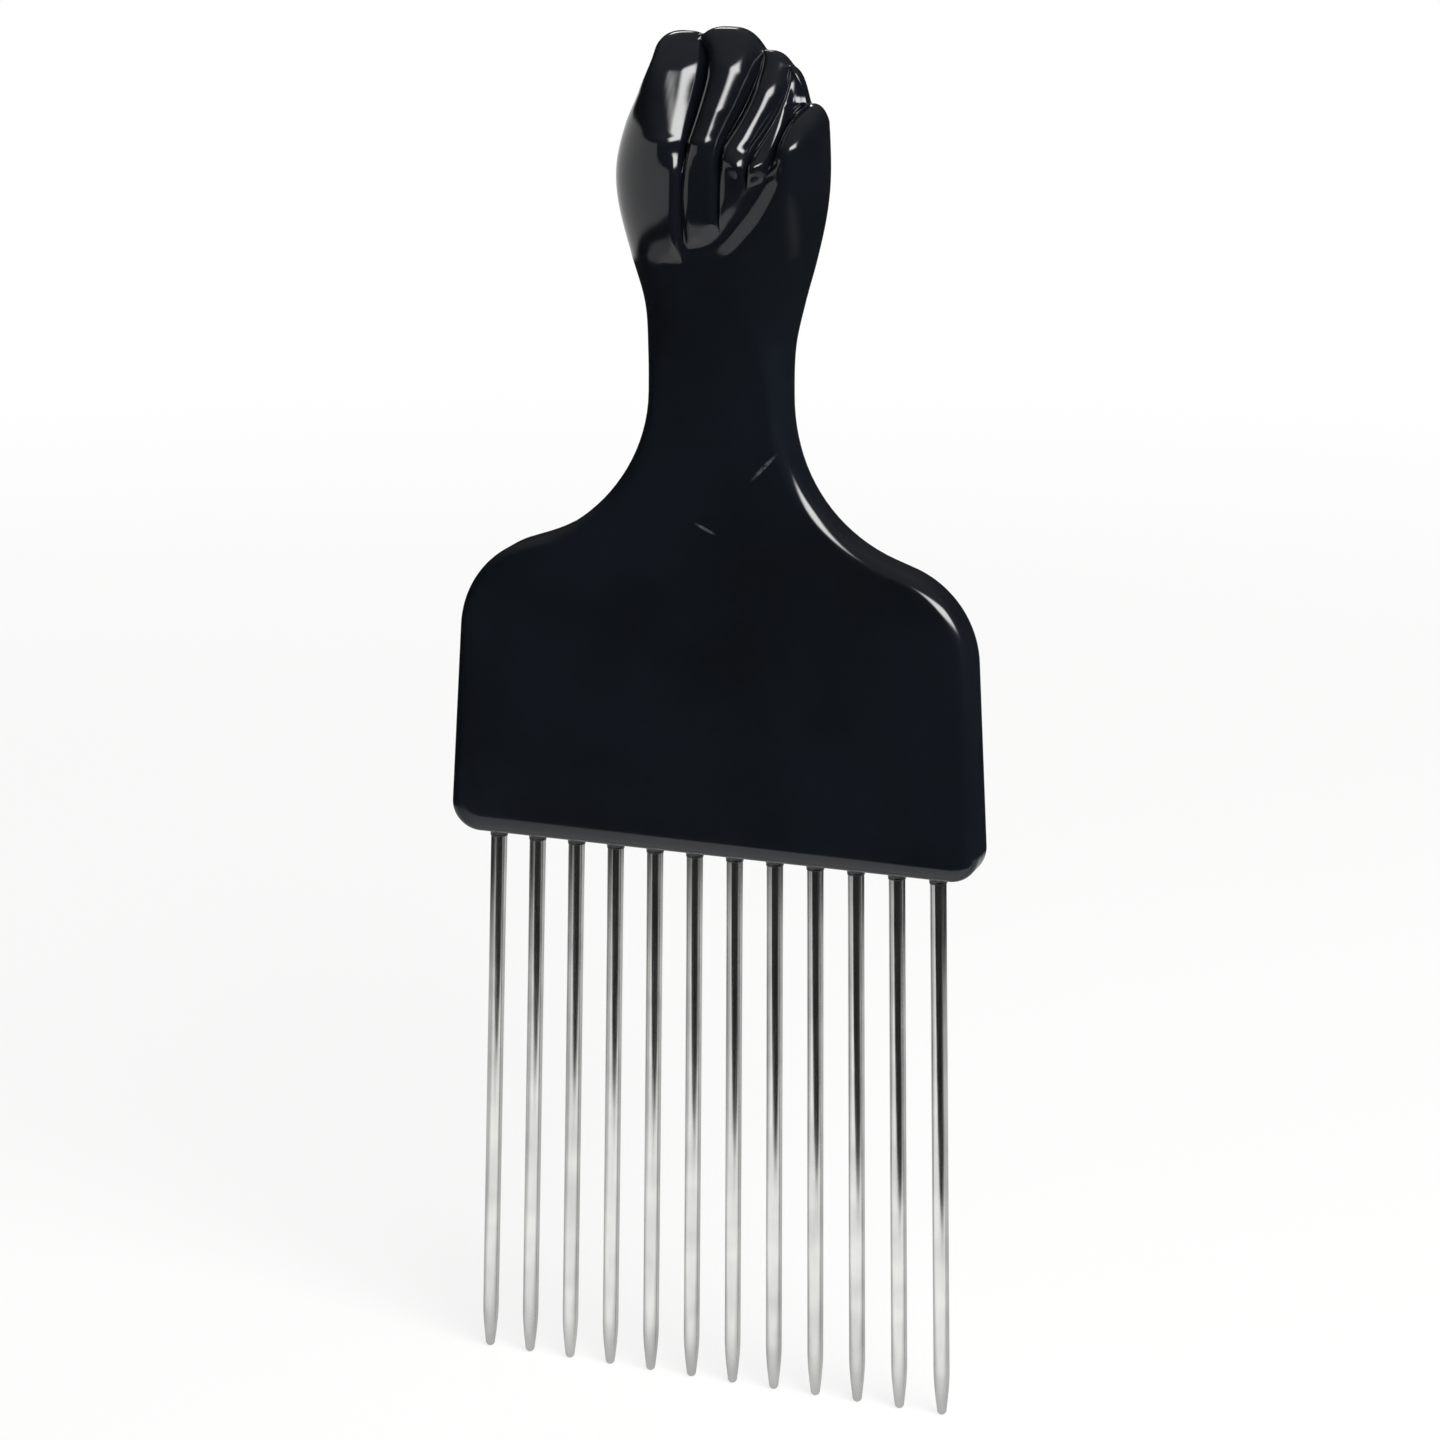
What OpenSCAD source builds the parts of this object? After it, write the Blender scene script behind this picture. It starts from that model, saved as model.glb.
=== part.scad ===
// Metal-pin afro pick: round steel pins moulded into a one-piece plastic handle.
// The handle is a flat blade, a narrow neck and a grip shaped as a closed fist.
// X runs across the blade, +Z from the pin tips to the knuckles, and the palm side faces -Y.
// The origin is in the middle of the pin tips.

/* [Pins] */
// Number of pins in the row
pin_count = 12; // [6:1:13]
// Distance from each end of the blade's bottom edge to the middle of the outermost pin
pin_margin = 5.5; // [4.6:0.1:7]
// Diameter of a pin
pin_d = 1.95; // [1.5:0.05:2.4]
// Length of a pin below the blade
pin_len = 68; // [50:1:90]
// Length of the shank held inside the blade
shank_len = 15; // [11:0.5:20]
// Length over which a pin narrows to its tip
tip_len = 6; // [3:0.5:9]
// Diameter where the narrowed part meets the round end
tip_d = 1.15; // [0.8:0.05:1.4]
// Lean of the outermost pins away from the middle, in degrees
pin_spread = 1.6; // [0:0.1:2]
// Depth of the rolled grooves that lock the shank
groove_depth = 0.2; // [0.1:0.05:0.3]
// Width of each rolled groove
groove_w = 1.2; // [0.8:0.1:1.6]
// Height of the plastic collar round each pin root
collar_h = 0.8; // [0.4:0.05:1]
// How far the collar spreads beyond the pin at the blade
collar_reach = 0.5; // [0.2:0.05:0.5]

/* [Blade] */
// Width of the blade at its bottom edge
blade_w = 66; // [64:0.5:76]
// Thickness of the blade
blade_t = 6; // [5:0.1:8]
// Lean of each side edge towards the neck, in degrees
side_draft = 3.5; // [1:0.1:5]
// Height at which the side line and the shoulder line would meet
shoulder_h = 33.5; // [29:0.5:40]
// Slope of the shoulder line above the horizontal, in degrees
shoulder_slope = 19.5; // [15:0.5:24]
// Radius of the rounded shoulder
shoulder_r = 12; // [9:0.5:14]
// Radius of the bottom corners, seen from the front
corner_r = 3.5; // [2.6:0.1:4.5]
// Rounding of the blade's long edges
edge_r = 1.5; // [1:0.1:1.9]
// Height of the rounding along the blade's bottom edge
bottom_h = 2.3; // [1.5:0.1:3.5]

/* [Neck] */
// Width of the neck where it is narrowest
neck_w = 16.8; // [14:0.1:20]
// Thickness of the neck where it is narrowest
neck_t = 7; // [6:0.1:9]
// Radius of the curve from shoulder to neck
neck_r = 19.3; // [16:0.1:23]

/* [Fist] */
// Height from the narrowest point of the neck to the tallest knuckle
fist_h = 41.7; // [34:0.1:50]
// Width of the fist over the palm and thumb
fist_w = 25; // [21:0.5:30]
// Thickness of the fist, front to back
fist_t = 17; // [14:0.5:20]
// Sideways shift of the fist's middle from the middle of the blade
fist_shift = 0.5; // [0:0.1:1]
// Depth of the creases between the fingers
crease_depth = 2.6; // [0.6:0.1:2.8]
// Rounding of the fingers' end segments beside their creases
crease_edge = 1.1; // [0.6:0.1:1.6]
// Rounding of the fingers' ends where they meet the thumb
fold_edge = 2.2; // [1.2:0.1:3]
// Rounding of the thumb beside the fingers
thumb_edge = 3; // [1.5:0.1:4]
// How far the knuckles on the back of the hand stand up
knuckle_rise = 0.8; // [0.2:0.1:1]

/* [Hidden] */
// Width of the flat left round the parting line of neck and fist
parting_t = 0.4;
// Distance from the blade's bottom edge to the first rolled groove, and between grooves
groove_gap = 4;
// Number of rolled grooves on a shank
groove_count = 2;
// How far a cut runs past the face it starts from
overrun = 1;
// Facets round a pin, and steps up its rounded end and up its narrowing
pin_fn = 48;
tip_steps = 5;

// Steps of the handle's surface: across each rounded side, each finger and the thumb, and up each stretch
side_steps = 4;
ZONE_STEPS = [7, 8, 6, 4, 7];
edge_steps = 5;
shoulder_steps = 6;
neck_steps = 6;
wrist_steps = 5;
hand_steps = 50;
fold_steps = 14;
// How far columns crowd at the creases, and rows at the top
crowding_share = 0.7;
row_power = 1.6;

// Shares of the fist's height, and of the growth from neck to fist, along its outer side and its thumb side
OUTER_SHARES = [[0, 0], [0.12, 0.04], [0.25, 0.16], [0.38, 0.545], [0.5, 0.87], [0.58, 0.975], [0.65, 0.92],
                [0.74, 0.66], [0.83, 0.26]];
THUMB_SIDE_SHARES = [[0, 0], [0.14, 0.065], [0.26, 0.33], [0.38, 0.65], [0.5, 0.9], [0.6, 1]];
// Where the top outline ends, as shares of half the fist's width
outer_end_share = -0.64;
thumb_end_share = 1;
// Tops of the four fingers and the thumb: place across as a share of half the width, drop as a share of the
// height, and half the breadth as a share of half the width
FINGER_SHARES = [[-0.37, 0.015, 0.33], [0.045, 0, 0.39], [0.41, 0.058, 0.26], [0.575, 0.095, 0.18],
                 [0.81, 0.194, 0.2]];
// Fall of a finger's top over half its breadth, as a share of that half
arch_fall_share = 0.9;
// Blend between neighbouring finger tops, as a share of half the fist's width
blend_share = 0.07;
// Creases between the fingers, which the columns follow: height share, place share of half the fist's width
FIRST_CREASE_SHARES = [[0, -0.26], [0.2, -0.24], [0.38, -0.22], [0.49, -0.21], [0.6, -0.2], [0.7, -0.175],
                       [0.8, -0.13], [0.88, -0.1], [0.93, -0.12], [0.955, -0.18], [0.965, -0.2]];
SECOND_CREASE_SHARES = [[0, 0.16], [0.3, 0.13], [0.5, 0.14], [0.62, 0.15], [0.7, 0.165], [0.75, 0.225],
                        [0.8, 0.29], [0.86, 0.35], [0.91, 0.38], [0.94, 0.385]];
THIRD_CREASE_SHARES = [[0, 0.38], [0.4, 0.38], [0.6, 0.415], [0.68, 0.44], [0.72, 0.5], [0.76, 0.56],
                       [0.8, 0.61], [0.85, 0.645], [0.89, 0.64]];
THUMB_CREASE_SHARES = [[0, 0.5], [0.3, 0.54], [0.5, 0.535], [0.58, 0.545], [0.635, 0.6], [0.69, 0.63],
                       [0.746, 0.665], [0.78, 0.7], [0.8, 0.75], [0.806, 0.805]];
CREASES = [FIRST_CREASE_SHARES, SECOND_CREASE_SHARES, THIRD_CREASE_SHARES, THUMB_CREASE_SHARES];
// The thumb's edge, which turns across the ends of the fingers
FOLD_SHARES = [[0.385, -0.2], [0.41, 0], [0.45, 0.15], [0.495, 0.27], [0.533, 0.38], [0.59, 0.53],
               [0.635, 0.6], [0.69, 0.63], [0.746, 0.665], [0.78, 0.7], [0.8, 0.75], [0.806, 0.805]];
// Depth of the fingers from their bend, at 0, to their tops, at 1, as shares of the growth from neck to fist
RISE_SHARES = [[0, 1], [0.05, 0.97], [0.1, 0.9], [0.4, 0.51], [0.7, 0.18], [1, -0.12]];
// Depth of fingers, heel of the hand, outer side and thumb up the fist's height, as shares of the same growth
FINGER_RUN_SHARES = [[0, 0], [0.12, 0.12], [0.24, 0.28], [0.34, 0.39], [0.378, 0.42], [0.42, 0.49],
                     [0.46, 0.62], [0.5, 0.73], [0.54, 0.78], [0.62, 0.82], [0.65, 0.86], [0.68, 0.98],
                     [0.69, 1], [0.7, 1]];
HEEL_RUN_SHARES = [[0, 0], [0.12, 0.12], [0.24, 0.28], [0.34, 0.39], [0.378, 0.42], [0.4, 0.57],
                   [0.44, 0.76], [0.5, 0.86], [0.6, 0.9], [0.65, 0.91], [0.68, 0.98], [0.69, 1],
                   [0.7, 1]];
SIDE_RUN_SHARES = [[0, 0], [0.14, 0.14], [0.25, 0.31], [0.38, 0.6], [0.5, 0.84], [0.6, 0.94],
                   [0.7, 0.96], [0.8, 0.86], [0.9, 0.68], [1, 0.52]];
THUMB_RUN_SHARES = [[0, 0], [0.12, 0.12], [0.24, 0.28], [0.34, 0.39], [0.378, 0.43], [0.42, 0.5],
                    [0.5, 0.68], [0.6, 0.87], [0.66, 0.9], [0.7, 0.81], [0.74, 0.63], [0.78, 0.44],
                    [0.82, 0.28]];
BACK_RUN_SHARES = [[0, 0], [0.25, 0.3], [0.45, 0.68], [0.65, 0.92], [0.8, 1], [1, 0.94]];
// Strength of the creases and of the thumb's fold up the fist's height
CREASE_STRENGTH_SHARES = [[0.38, 0], [0.43, 0.3], [0.62, 0.34], [0.69, 1], [0.9, 1], [1, 0.7]];
FOLD_STRENGTH_SHARES = [[0.37, 0], [0.43, 0.25], [0.5, 0.45], [0.62, 0.6], [0.69, 1], [0.9, 1], [1, 0.7]];
// Where the fingers bend and how far the bend falls towards the index finger, as shares of the fist's height
bend_share = 0.7;
bend_fall_share = 0.05;
// Crest of the little finger, and of the thumb from its outer side, across their breadth
crest_share = 0.44;
// Where the flat round the outline has narrowed to the parting line, as a share of the fist's height
rim_run_share = 0.3;
// How far a finger's half ellipse is cut off before it turns vertical
dome_share = 0.95;
// Where a relief starts and the stretch over which it grows, as shares of the height, or of half the width
HEEL_BLEND_SHARES = [-0.04, 0.08];
SIDE_BLEND_SHARES = [-0.3, 0.35];
THUMB_BLEND_SHARES = [0.385, 0.05];
RIDGE_BLEND_SHARES = [0.62, 0.08];
FOLD_BLEND_SHARES = [0.6, 0.08];
BEND_FALL_BLEND_SHARES = [0, 0.6];
BEND_BLEND_SHARES = [0.42, 0.2];
KNUCKLE_BLEND_SHARES = [0.62, 0.3];
// Rounding of the sides up the fist's height, as shares of the half width; the back is rounder than the palm
// side towards the thumb
OUTER_ROUND_SHARES = [[0, 0.22], [0.25, 0.7], [0.4, 0.8], [0.7, 0.8], [0.8, 0.66], [0.88, 0.5], [1, 0.42]];
THUMB_ROUND_SHARES = [[0, 0.22], [0.25, 0.65], [0.4, 0.75], [0.6, 0.48], [0.72, 0.26], [1, 0.26]];
BACK_THUMB_ROUND_SHARES = [[0, 0.22], [0.25, 0.65], [0.4, 0.75], [0.6, 0.75], [0.75, 0.75], [1, 0.75]];
// Rounding of the top on the palm side and on the back, as shares of the fist's height
palm_top_share = 0.1;
back_top_share = 0.3;
// Widest rounded part of a finger's or the thumb's columns
ramp_share = 0.7;
// Height share where the rows start to follow the top outline
row_turn_share = 0.36;
FRONT = -1;
BACK = 1;

// Name of a pin, counted from 1 at the left
function pin_name(i) = str("pin_", i < 10 ? "0" : "", i);

// Smooth step from 0 to 1
function smooth(t) = let (c = min(max(t, 0), 1)) c * c * (3 - 2 * c);
// Square root that takes a rounding error below zero as zero
function root(v) = sqrt(max(v, 0));
// Quarter-round profile: 0 at the edge, 1 from one radius inwards
function round_in(u) = let (c = min(max(u, 0), 1)) root(1 - (1 - c) * (1 - c));
// Larger of two values, blended where they come within k of each other
function blended_max(a, b, k) = let (gap = max(k - abs(a - b), 0)) max(a, b) + gap * gap / (4 * k);
// Slope of a table's curve at entry i, level at both ends
function knot_slope(t, i) =
    i == 0 || i == len(t) - 1 ? 0 : (t[i + 1][1] - t[i - 1][1]) / (t[i + 1][0] - t[i - 1][0]);
// Last entry of a table at or below p
function knot_below(t, p, i = 0) = i >= len(t) - 2 || p < t[i + 1][0] ? i : knot_below(t, p, i + 1);
// Smooth curve through the points of a table
function curve(t, p0) =
    let (p = min(max(p0, t[0][0]), t[len(t) - 1][0]), i = knot_below(t, p), h = t[i + 1][0] - t[i][0],
         u = (p - t[i][0]) / h, v = 1 - u)
    t[i][1] * (1 + 2 * u) * v * v + knot_slope(t, i) * h * u * v * v
    + t[i + 1][1] * (1 + 2 * v) * u * u - knot_slope(t, i + 1) * h * u * u * v;
// Mix of two values
function mix(a, b, t) = a + (b - a) * t;

// Outline of blade and neck, with heights over the blade's bottom edge: a side line, a rounded shoulder, a
// shoulder line and the neck's curve, each tangent to the next
pin_r = pin_d / 2;
half_w = blade_w / 2;
half_t = blade_t / 2;
neck_half = neck_w / 2;
fist_half = fist_w / 2;
edge_in = min(edge_r, half_t - parting_t / 2);
bottom_in = min(bottom_h, corner_r);
line_lean = 90 - shoulder_slope;
shoulder_x = half_w - tan(side_draft) * shoulder_h;
side_normal = [-cos(side_draft), -sin(side_draft)];
line_normal = [-cos(line_lean), -sin(line_lean)];
shoulder_c = [shoulder_x, shoulder_h]
             + shoulder_r * (side_normal + line_normal) / (1 + side_normal * line_normal);
neck_cx = neck_half + neck_r;
neck_z = shoulder_h - (neck_r + line_normal.x * (neck_cx - shoulder_x)) / line_normal.y;
corner_x = half_w - corner_r * (1 + sin(side_draft)) / cos(side_draft);
corner_top = corner_r * (1 + sin(side_draft));
side_top = shoulder_c.y + shoulder_r * sin(side_draft);
shoulder_top = shoulder_c.y + shoulder_r * sin(line_lean);
line_top = neck_z - neck_r * sin(line_lean);
fist_top = neck_z + fist_h;

// Half width of blade and neck at a height
function blade_half(z) =
    z < corner_top ? corner_x + root(corner_r * corner_r - (corner_r - z) * (corner_r - z))
    : z < side_top ? half_w - tan(side_draft) * z
    : z < shoulder_top
        ? shoulder_c.x + root(shoulder_r * shoulder_r - (z - shoulder_c.y) * (z - shoulder_c.y))
    : z < line_top ? shoulder_x - (z - shoulder_h) / tan(shoulder_slope)
    : neck_cx - root(neck_r * neck_r - (neck_z - z) * (neck_z - z));
// Lean of the side outline from the vertical
function side_lean(z) =
    z < side_top ? side_draft
    : z < shoulder_top ? asin((z - shoulder_c.y) / shoulder_r)
    : z < line_top ? line_lean
    : z < neck_z ? asin((neck_z - z) / neck_r)
    : 0;

// Outline of the fist: the top runs over four fingers and the thumb, and the sides meet it at its ends
outer_end = fist_shift + outer_end_share * fist_half;
thumb_end = fist_shift + thumb_end_share * fist_half;
function arch_z(f, x) =
    let (r = f[2] * fist_half, off = abs(x - fist_shift - f[0] * fist_half) / r)
    fist_top - f[1] * fist_h - arch_fall_share * r * off * off * off;
function top_z(x, i = 0) =
    let (z = arch_z(FINGER_SHARES[i], x))
    i == len(FINGER_SHARES) - 1 ? z : blended_max(z, top_z(x, i + 1), blend_share * fist_half);
outer_end_z = top_z(outer_end);
thumb_end_z = top_z(thumb_end);
function height_share(z) = (z - neck_z) / fist_h;
function end_knot(x, z) = [height_share(z), (abs(x - fist_shift) - neck_half) / (fist_half - neck_half)];
OUTER_SIDE = concat(OUTER_SHARES, [end_knot(outer_end, outer_end_z)]);
THUMB_SIDE = concat(THUMB_SIDE_SHARES, [end_knot(thumb_end, thumb_end_z)]);
// How far the section has changed from a flat blade to the neck, from 0 to 1
function neck_share(z) = smooth((z - line_top) / (neck_z - line_top));
function axis_x(z) = fist_shift * neck_share(z);
function half_at(z, table) =
    z < neck_z ? blade_half(z) : mix(neck_half, fist_half, curve(table, height_share(z)));
function outer_x(z) = axis_x(z) - half_at(z, OUTER_SIDE);
function thumb_x(z) = axis_x(z) + half_at(z, THUMB_SIDE);

// Breadth of a rounded side at a height, measured across
function side_round(z, table) =
    let (hand = curve(table, height_share(z)) * (thumb_x(z) - outer_x(z)) / 2)
    mix(edge_in / cos(side_lean(z)), hand, neck_share(z));
// Half thickness of the flat left round the outline, which narrows to the parting line over neck and wrist
rim_top = neck_z + rim_run_share * fist_h;
function rim_half(z) = mix(half_t - edge_in, parting_t / 2, smooth((z - line_top) / (rim_top - line_top)));
// Growth from 0 to 1 over a stretch, given as its start and its length
function grown(v, blend) = smooth((v - blend[0]) / blend[1]);

// Lines that the columns follow: 0 is the outer side, 1 to 4 are the creases, 5 is the thumb's side
function line_x(i, z) =
    i == 0 ? outer_x(z)
    : i == 5 ? thumb_x(z)
    : let (spread = z < neck_z ? blade_half(z) / neck_half : 1)
      axis_x(z) + fist_half * spread * curve(CREASES[i - 1], height_share(z));
// Which finger a point lies on, from 0, the little finger, to 4, the thumb
function zone_at(x, z, i = 0) = i == 4 || x <= line_x(i + 1, z) ? i : zone_at(x, z, i + 1);
// Place within the finger, -1 and 1 at its creases, and half its width: the little finger and the thumb have
// a crease on one side only, and stay 0 from their crest outwards
function place_in(x, z) =
    let (i = zone_at(x, z), low = line_x(i, z), high = line_x(i + 1, z),
         crest = mix(low, high, i == 0 ? crest_share : i == 4 ? 1 - crest_share : 1 / 2),
         half = x < crest ? crest - low : high - crest, w = (x - crest) / half)
    [i == 0 ? max(w, 0) : i == 4 ? min(w, 0) : w, half];

// Distance from the thumb's fold, below zero on the fingers' side
function fold_point(s) = [fist_shift + fist_half * curve(FOLD_SHARES, s), neck_z + fist_h * s];
FOLD = [for (k = [0:fold_steps])
    fold_point(mix(FOLD_SHARES[0][0], FOLD_SHARES[len(FOLD_SHARES) - 1][0], k / fold_steps))];
function piece_distance(p, a, b) =
    let (run = b - a, t = min(max((p - a) * run / (run * run), 0), 1)) norm(p - a - t * run);
function fold_distance(x, z) =
    min([for (k = [1:fold_steps]) piece_distance([x, z], FOLD[k - 1], FOLD[k])])
    * (x > fold_point(height_share(z)).x ? 1 : -1);

// Drop of a rounded form from its crest, 0, to its crease, 1: a half ellipse
function dome_drop(w) =
    let (c = min(abs(w), 1)) (1 - root(1 - dome_share * c * c)) / (1 - root(1 - dome_share));
// How far the palm side has grown from neck to fist
function palm_run(x, z, top, fold) =
    let (s = height_share(z), u = (x - fist_shift) / fist_half,
         fall = bend_fall_share * grown(u, BEND_FALL_BLEND_SHARES) * grown(s, BEND_BLEND_SHARES),
         bend = neck_z + (bend_share - fall) * fist_h,
         first = curve(FIRST_CREASE_SHARES, s),
         beside = grown(u - first, HEEL_BLEND_SHARES),
         low = mix(curve(HEEL_RUN_SHARES, s), curve(FINGER_RUN_SHARES, s + fall), beside),
         run = z < bend ? low : curve(RISE_SHARES, (z - bend) / (top - bend)),
         aside = smooth((SIDE_BLEND_SHARES[0] - u) / SIDE_BLEND_SHARES[1]),
         sided = mix(run, curve(SIDE_RUN_SHARES, s), aside))
    mix(sided, curve(THUMB_RUN_SHARES, s), smooth(fold / fold_edge + 1 / 2) * grown(s, THUMB_BLEND_SHARES));
// Drop into the creases: rounded fingers above their bend, flat ones below it, and the fold round the thumb
function palm_drop(x, z, fold) =
    let (s = height_share(z), place = place_in(x, z), w = place[0], half = place[1],
         ridge = 1 - min(half / crease_depth, 1) * (1 - dome_drop(w)),
         flat = dome_drop(max(1 - (1 - abs(w)) * half / crease_edge, 0)),
         crease = mix(flat, ridge, grown(s, RIDGE_BLEND_SHARES)) * curve(CREASE_STRENGTH_SHARES, s),
         near = max(1 - abs(fold) / (fold > 0 ? thumb_edge : fold_edge), 0),
         edge = mix(smooth(near), dome_drop(near), grown(s, FOLD_BLEND_SHARES)),
         groove = edge * curve(FOLD_STRENGTH_SHARES, s))
    fold > 0 ? groove : max(crease, groove);
function palm_depth(x, z, top) =
    let (fold = fold_distance(x, z))
    mix(neck_t, fist_t, palm_run(x, z, top, fold)) / 2 - crease_depth * palm_drop(x, z, fold);
// Relief of the back of the hand: its depth, with level waves between the knuckles
function back_depth(x, z) =
    let (s = height_share(z), place = place_in(x, z),
         wave = 1 - min(place[1] / crease_depth, 1) * (1 + cos(180 * place[0])) / 2)
    mix(neck_t, fist_t, curve(BACK_RUN_SHARES, s)) / 2 - knuckle_rise * wave * grown(s, KNUCKLE_BLEND_SHARES);
function relief(x, z, top, side) =
    z < shoulder_top ? half_t
    : mix(half_t, side == FRONT ? palm_depth(x, z, top) : back_depth(x, z), neck_share(z));

// Place between the blade's outline, 0, and the inner end of its rounded edge, 1: the rounding is taller along
// the bottom than it is wide at the sides, and passes from one to the other round the corners
function corner_place(across, up) =
    let (off = norm([across, up]), down = up / off)
    (corner_r - off) / mix(edge_in, bottom_in, down * down);
function edge_place(x, z) =
    z < corner_r && abs(x) > corner_x ? corner_place(abs(x) - corner_x, corner_r - z)
    : min(z / bottom_in, (blade_half(z) - abs(x)) * cos(side_lean(z)) / edge_in);
// Share of the full depth that the rounded edges leave at a point
function edge_share(x, z, top, side) =
    z < shoulder_top ? round_in(edge_place(x, z))
    : let (outer = (x - outer_x(z)) / side_round(z, OUTER_ROUND_SHARES),
           table = side == FRONT ? THUMB_ROUND_SHARES : BACK_THUMB_ROUND_SHARES,
           inner = (thumb_x(z) - x) / side_round(z, table),
           over = (top - z) / ((side == FRONT ? palm_top_share : back_top_share) * fist_h))
      round_in(min(outer, inner)) * round_in(over);
function skin_y(x, z, top, side) =
    side * mix(rim_half(z), relief(x, z, top, side), edge_share(x, z, top, side));

// Places across one finger, close together at its creases and in the rounded sides
function zone_places(i, low, high, rounding) =
    let (n = ZONE_STEPS[i], edge = min(rounding, ramp_share * (high - low)))
    i == 0 ? concat([for (k = [0:side_steps - 1]) low + edge * (1 - cos(90 * k / side_steps))],
                    [for (k = [0:n - 1]) mix(low + edge, high, mix(k / n, sin(90 * k / n), crowding_share))])
    : i == 4
        ? concat([for (k = [0:n]) mix(low, high - edge, mix(k / n, 1 - cos(90 * k / n), crowding_share))],
                 [for (k = [side_steps - 1:-1:0]) high - edge * (1 - cos(90 * k / side_steps))])
    : [for (k = [0:n - 1]) mix(low, high, k / n - crowding_share * sin(360 * k / n) / (2 * PI))];
// Places across a row, given the place of each line in it
function across(lines, rounding) = [for (i = [0:4]) each zone_places(i, lines[i], lines[i + 1], rounding)];

// Top of each line and of each column
TOP_LINES = concat([outer_end], [for (c = CREASES) fist_shift + fist_half * c[len(c) - 1][1]], [thumb_end]);
TOP_HEIGHTS = [for (x = TOP_LINES) top_z(x)];
TOPS = [for (x = across(TOP_LINES, side_round(TOP_HEIGHTS[0], OUTER_ROUND_SHARES))) top_z(x)];
turn_z = mix(neck_z, fist_top, row_turn_share);
// A row through the given heights of the lines: straight where they are alike
function row(heights, t) =
    let (places = across([for (i = [0:5]) line_x(i, heights[i])], side_round(heights[0], OUTER_ROUND_SHARES)))
    [for (k = [0:len(TOPS) - 1]) [places[k], t < 0 ? heights[0] : mix(turn_z, TOPS[k], t), TOPS[k]]];
function straight_row(z) = row([for (i = [0:5]) z], -1);
// A row that bends by degrees from straight, at t 0, to the top outline, at t 1
function turned_row(t) = row([for (top = TOP_HEIGHTS) mix(turn_z, top, t)], t);
ROWS = concat(
    [for (k = [0:edge_steps - 1]) straight_row(bottom_in * (1 - cos(90 * k / edge_steps)))],
    [straight_row(corner_top), straight_row(side_top)],
    [for (k = [1:shoulder_steps])
        straight_row(shoulder_c.y + shoulder_r * sin(mix(side_draft, line_lean, k / shoulder_steps)))],
    [for (k = [0:neck_steps - 1]) straight_row(neck_z - neck_r * sin(line_lean * (1 - k / neck_steps)))],
    [for (k = [0:wrist_steps - 1]) straight_row(mix(neck_z, turn_z, k / wrist_steps))],
    [for (k = [0:hand_steps]) turned_row(1 - pow(1 - k / hand_steps, row_power))]
);

// Closed skin through the rows, front and back, with a narrow rim between them
module handle_skin() {
    n = len(TOPS);
    m = len(ROWS);
    points = [for (side = [FRONT, BACK]) for (row = ROWS) for (p = row)
        [p.x, skin_y(p.x, p.y, p.z, side), p.y]];
    face = function(side, j, k) (side == FRONT ? 0 : m * n) + j * n + k;
    grid = [for (j = [0:m - 2]) for (k = [0:n - 2]) [j, k]];
    rim = concat(
        [for (k = [0:n - 2]) [[0, k], [0, k + 1]]],
        [for (j = [0:m - 2]) [[j, n - 1], [j + 1, n - 1]]],
        [for (k = [n - 1:-1:1]) [[m - 1, k], [m - 1, k - 1]]],
        [for (j = [m - 1:-1:1]) [[j, 0], [j - 1, 0]]]
    );
    faces = concat(
        [for (g = grid) [face(FRONT, g.x, g.y), face(FRONT, g.x + 1, g.y), face(FRONT, g.x + 1, g.y + 1)]],
        [for (g = grid) [face(FRONT, g.x, g.y), face(FRONT, g.x + 1, g.y + 1), face(FRONT, g.x, g.y + 1)]],
        [for (g = grid) [face(BACK, g.x, g.y), face(BACK, g.x + 1, g.y + 1), face(BACK, g.x + 1, g.y)]],
        [for (g = grid) [face(BACK, g.x, g.y), face(BACK, g.x, g.y + 1), face(BACK, g.x + 1, g.y + 1)]],
        [for (e = rim)
            [face(FRONT, e[0].x, e[0].y), face(FRONT, e[1].x, e[1].y), face(BACK, e[1].x, e[1].y)]],
        [for (e = rim)
            [face(FRONT, e[0].x, e[0].y), face(BACK, e[1].x, e[1].y), face(BACK, e[0].x, e[0].y)]]
    );
    polyhedron(points, faces);
}

// Places a child at the root of pin i, counted from 1, leaning as that pin does
module at_pin(i) {
    off = i - (pin_count + 1) / 2;
    pitch = (blade_w - 2 * pin_margin) / (pin_count - 1);
    translate([off * pitch, 0, pin_len])
        rotate([0, -pin_spread * off * 2 / (pin_count - 1), 0])
            children();
}

// Half outline of the shank, from the blade's edge up to its end, with the rolled grooves
function groove_points(k) =
    let (z = groove_gap + k * (groove_w + groove_gap), deep = pin_r - groove_depth)
    [[pin_r, z], [deep, z + groove_depth], [deep, z + groove_w - groove_depth], [pin_r, z + groove_w]];
function shank_points() =
    concat([for (k = [0:groove_count - 1]) each groove_points(k)], [[pin_r, shank_len], [0, shank_len]]);
// Half outline of the free length, from the centre of the round end up to where the pin has its full diameter
function tip_points() =
    let (r = tip_d / 2)
    concat([for (k = [0:tip_steps])
               [r * sin(90 * k / tip_steps), -pin_len + r * (1 - cos(90 * k / tip_steps))]],
           [for (k = [1:tip_steps])
               [mix(r, pin_r, sin(90 * k / tip_steps)), mix(r, tip_len, k / tip_steps) - pin_len]]);

// One pin: bullet tip, straight free length and grooved shank
module pin(i) {
    color([0.78, 0.79, 0.81])
        at_pin(i)
            rotate_extrude($fn = pin_fn)
                polygon(concat(tip_points(), shank_points()));
}

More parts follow.
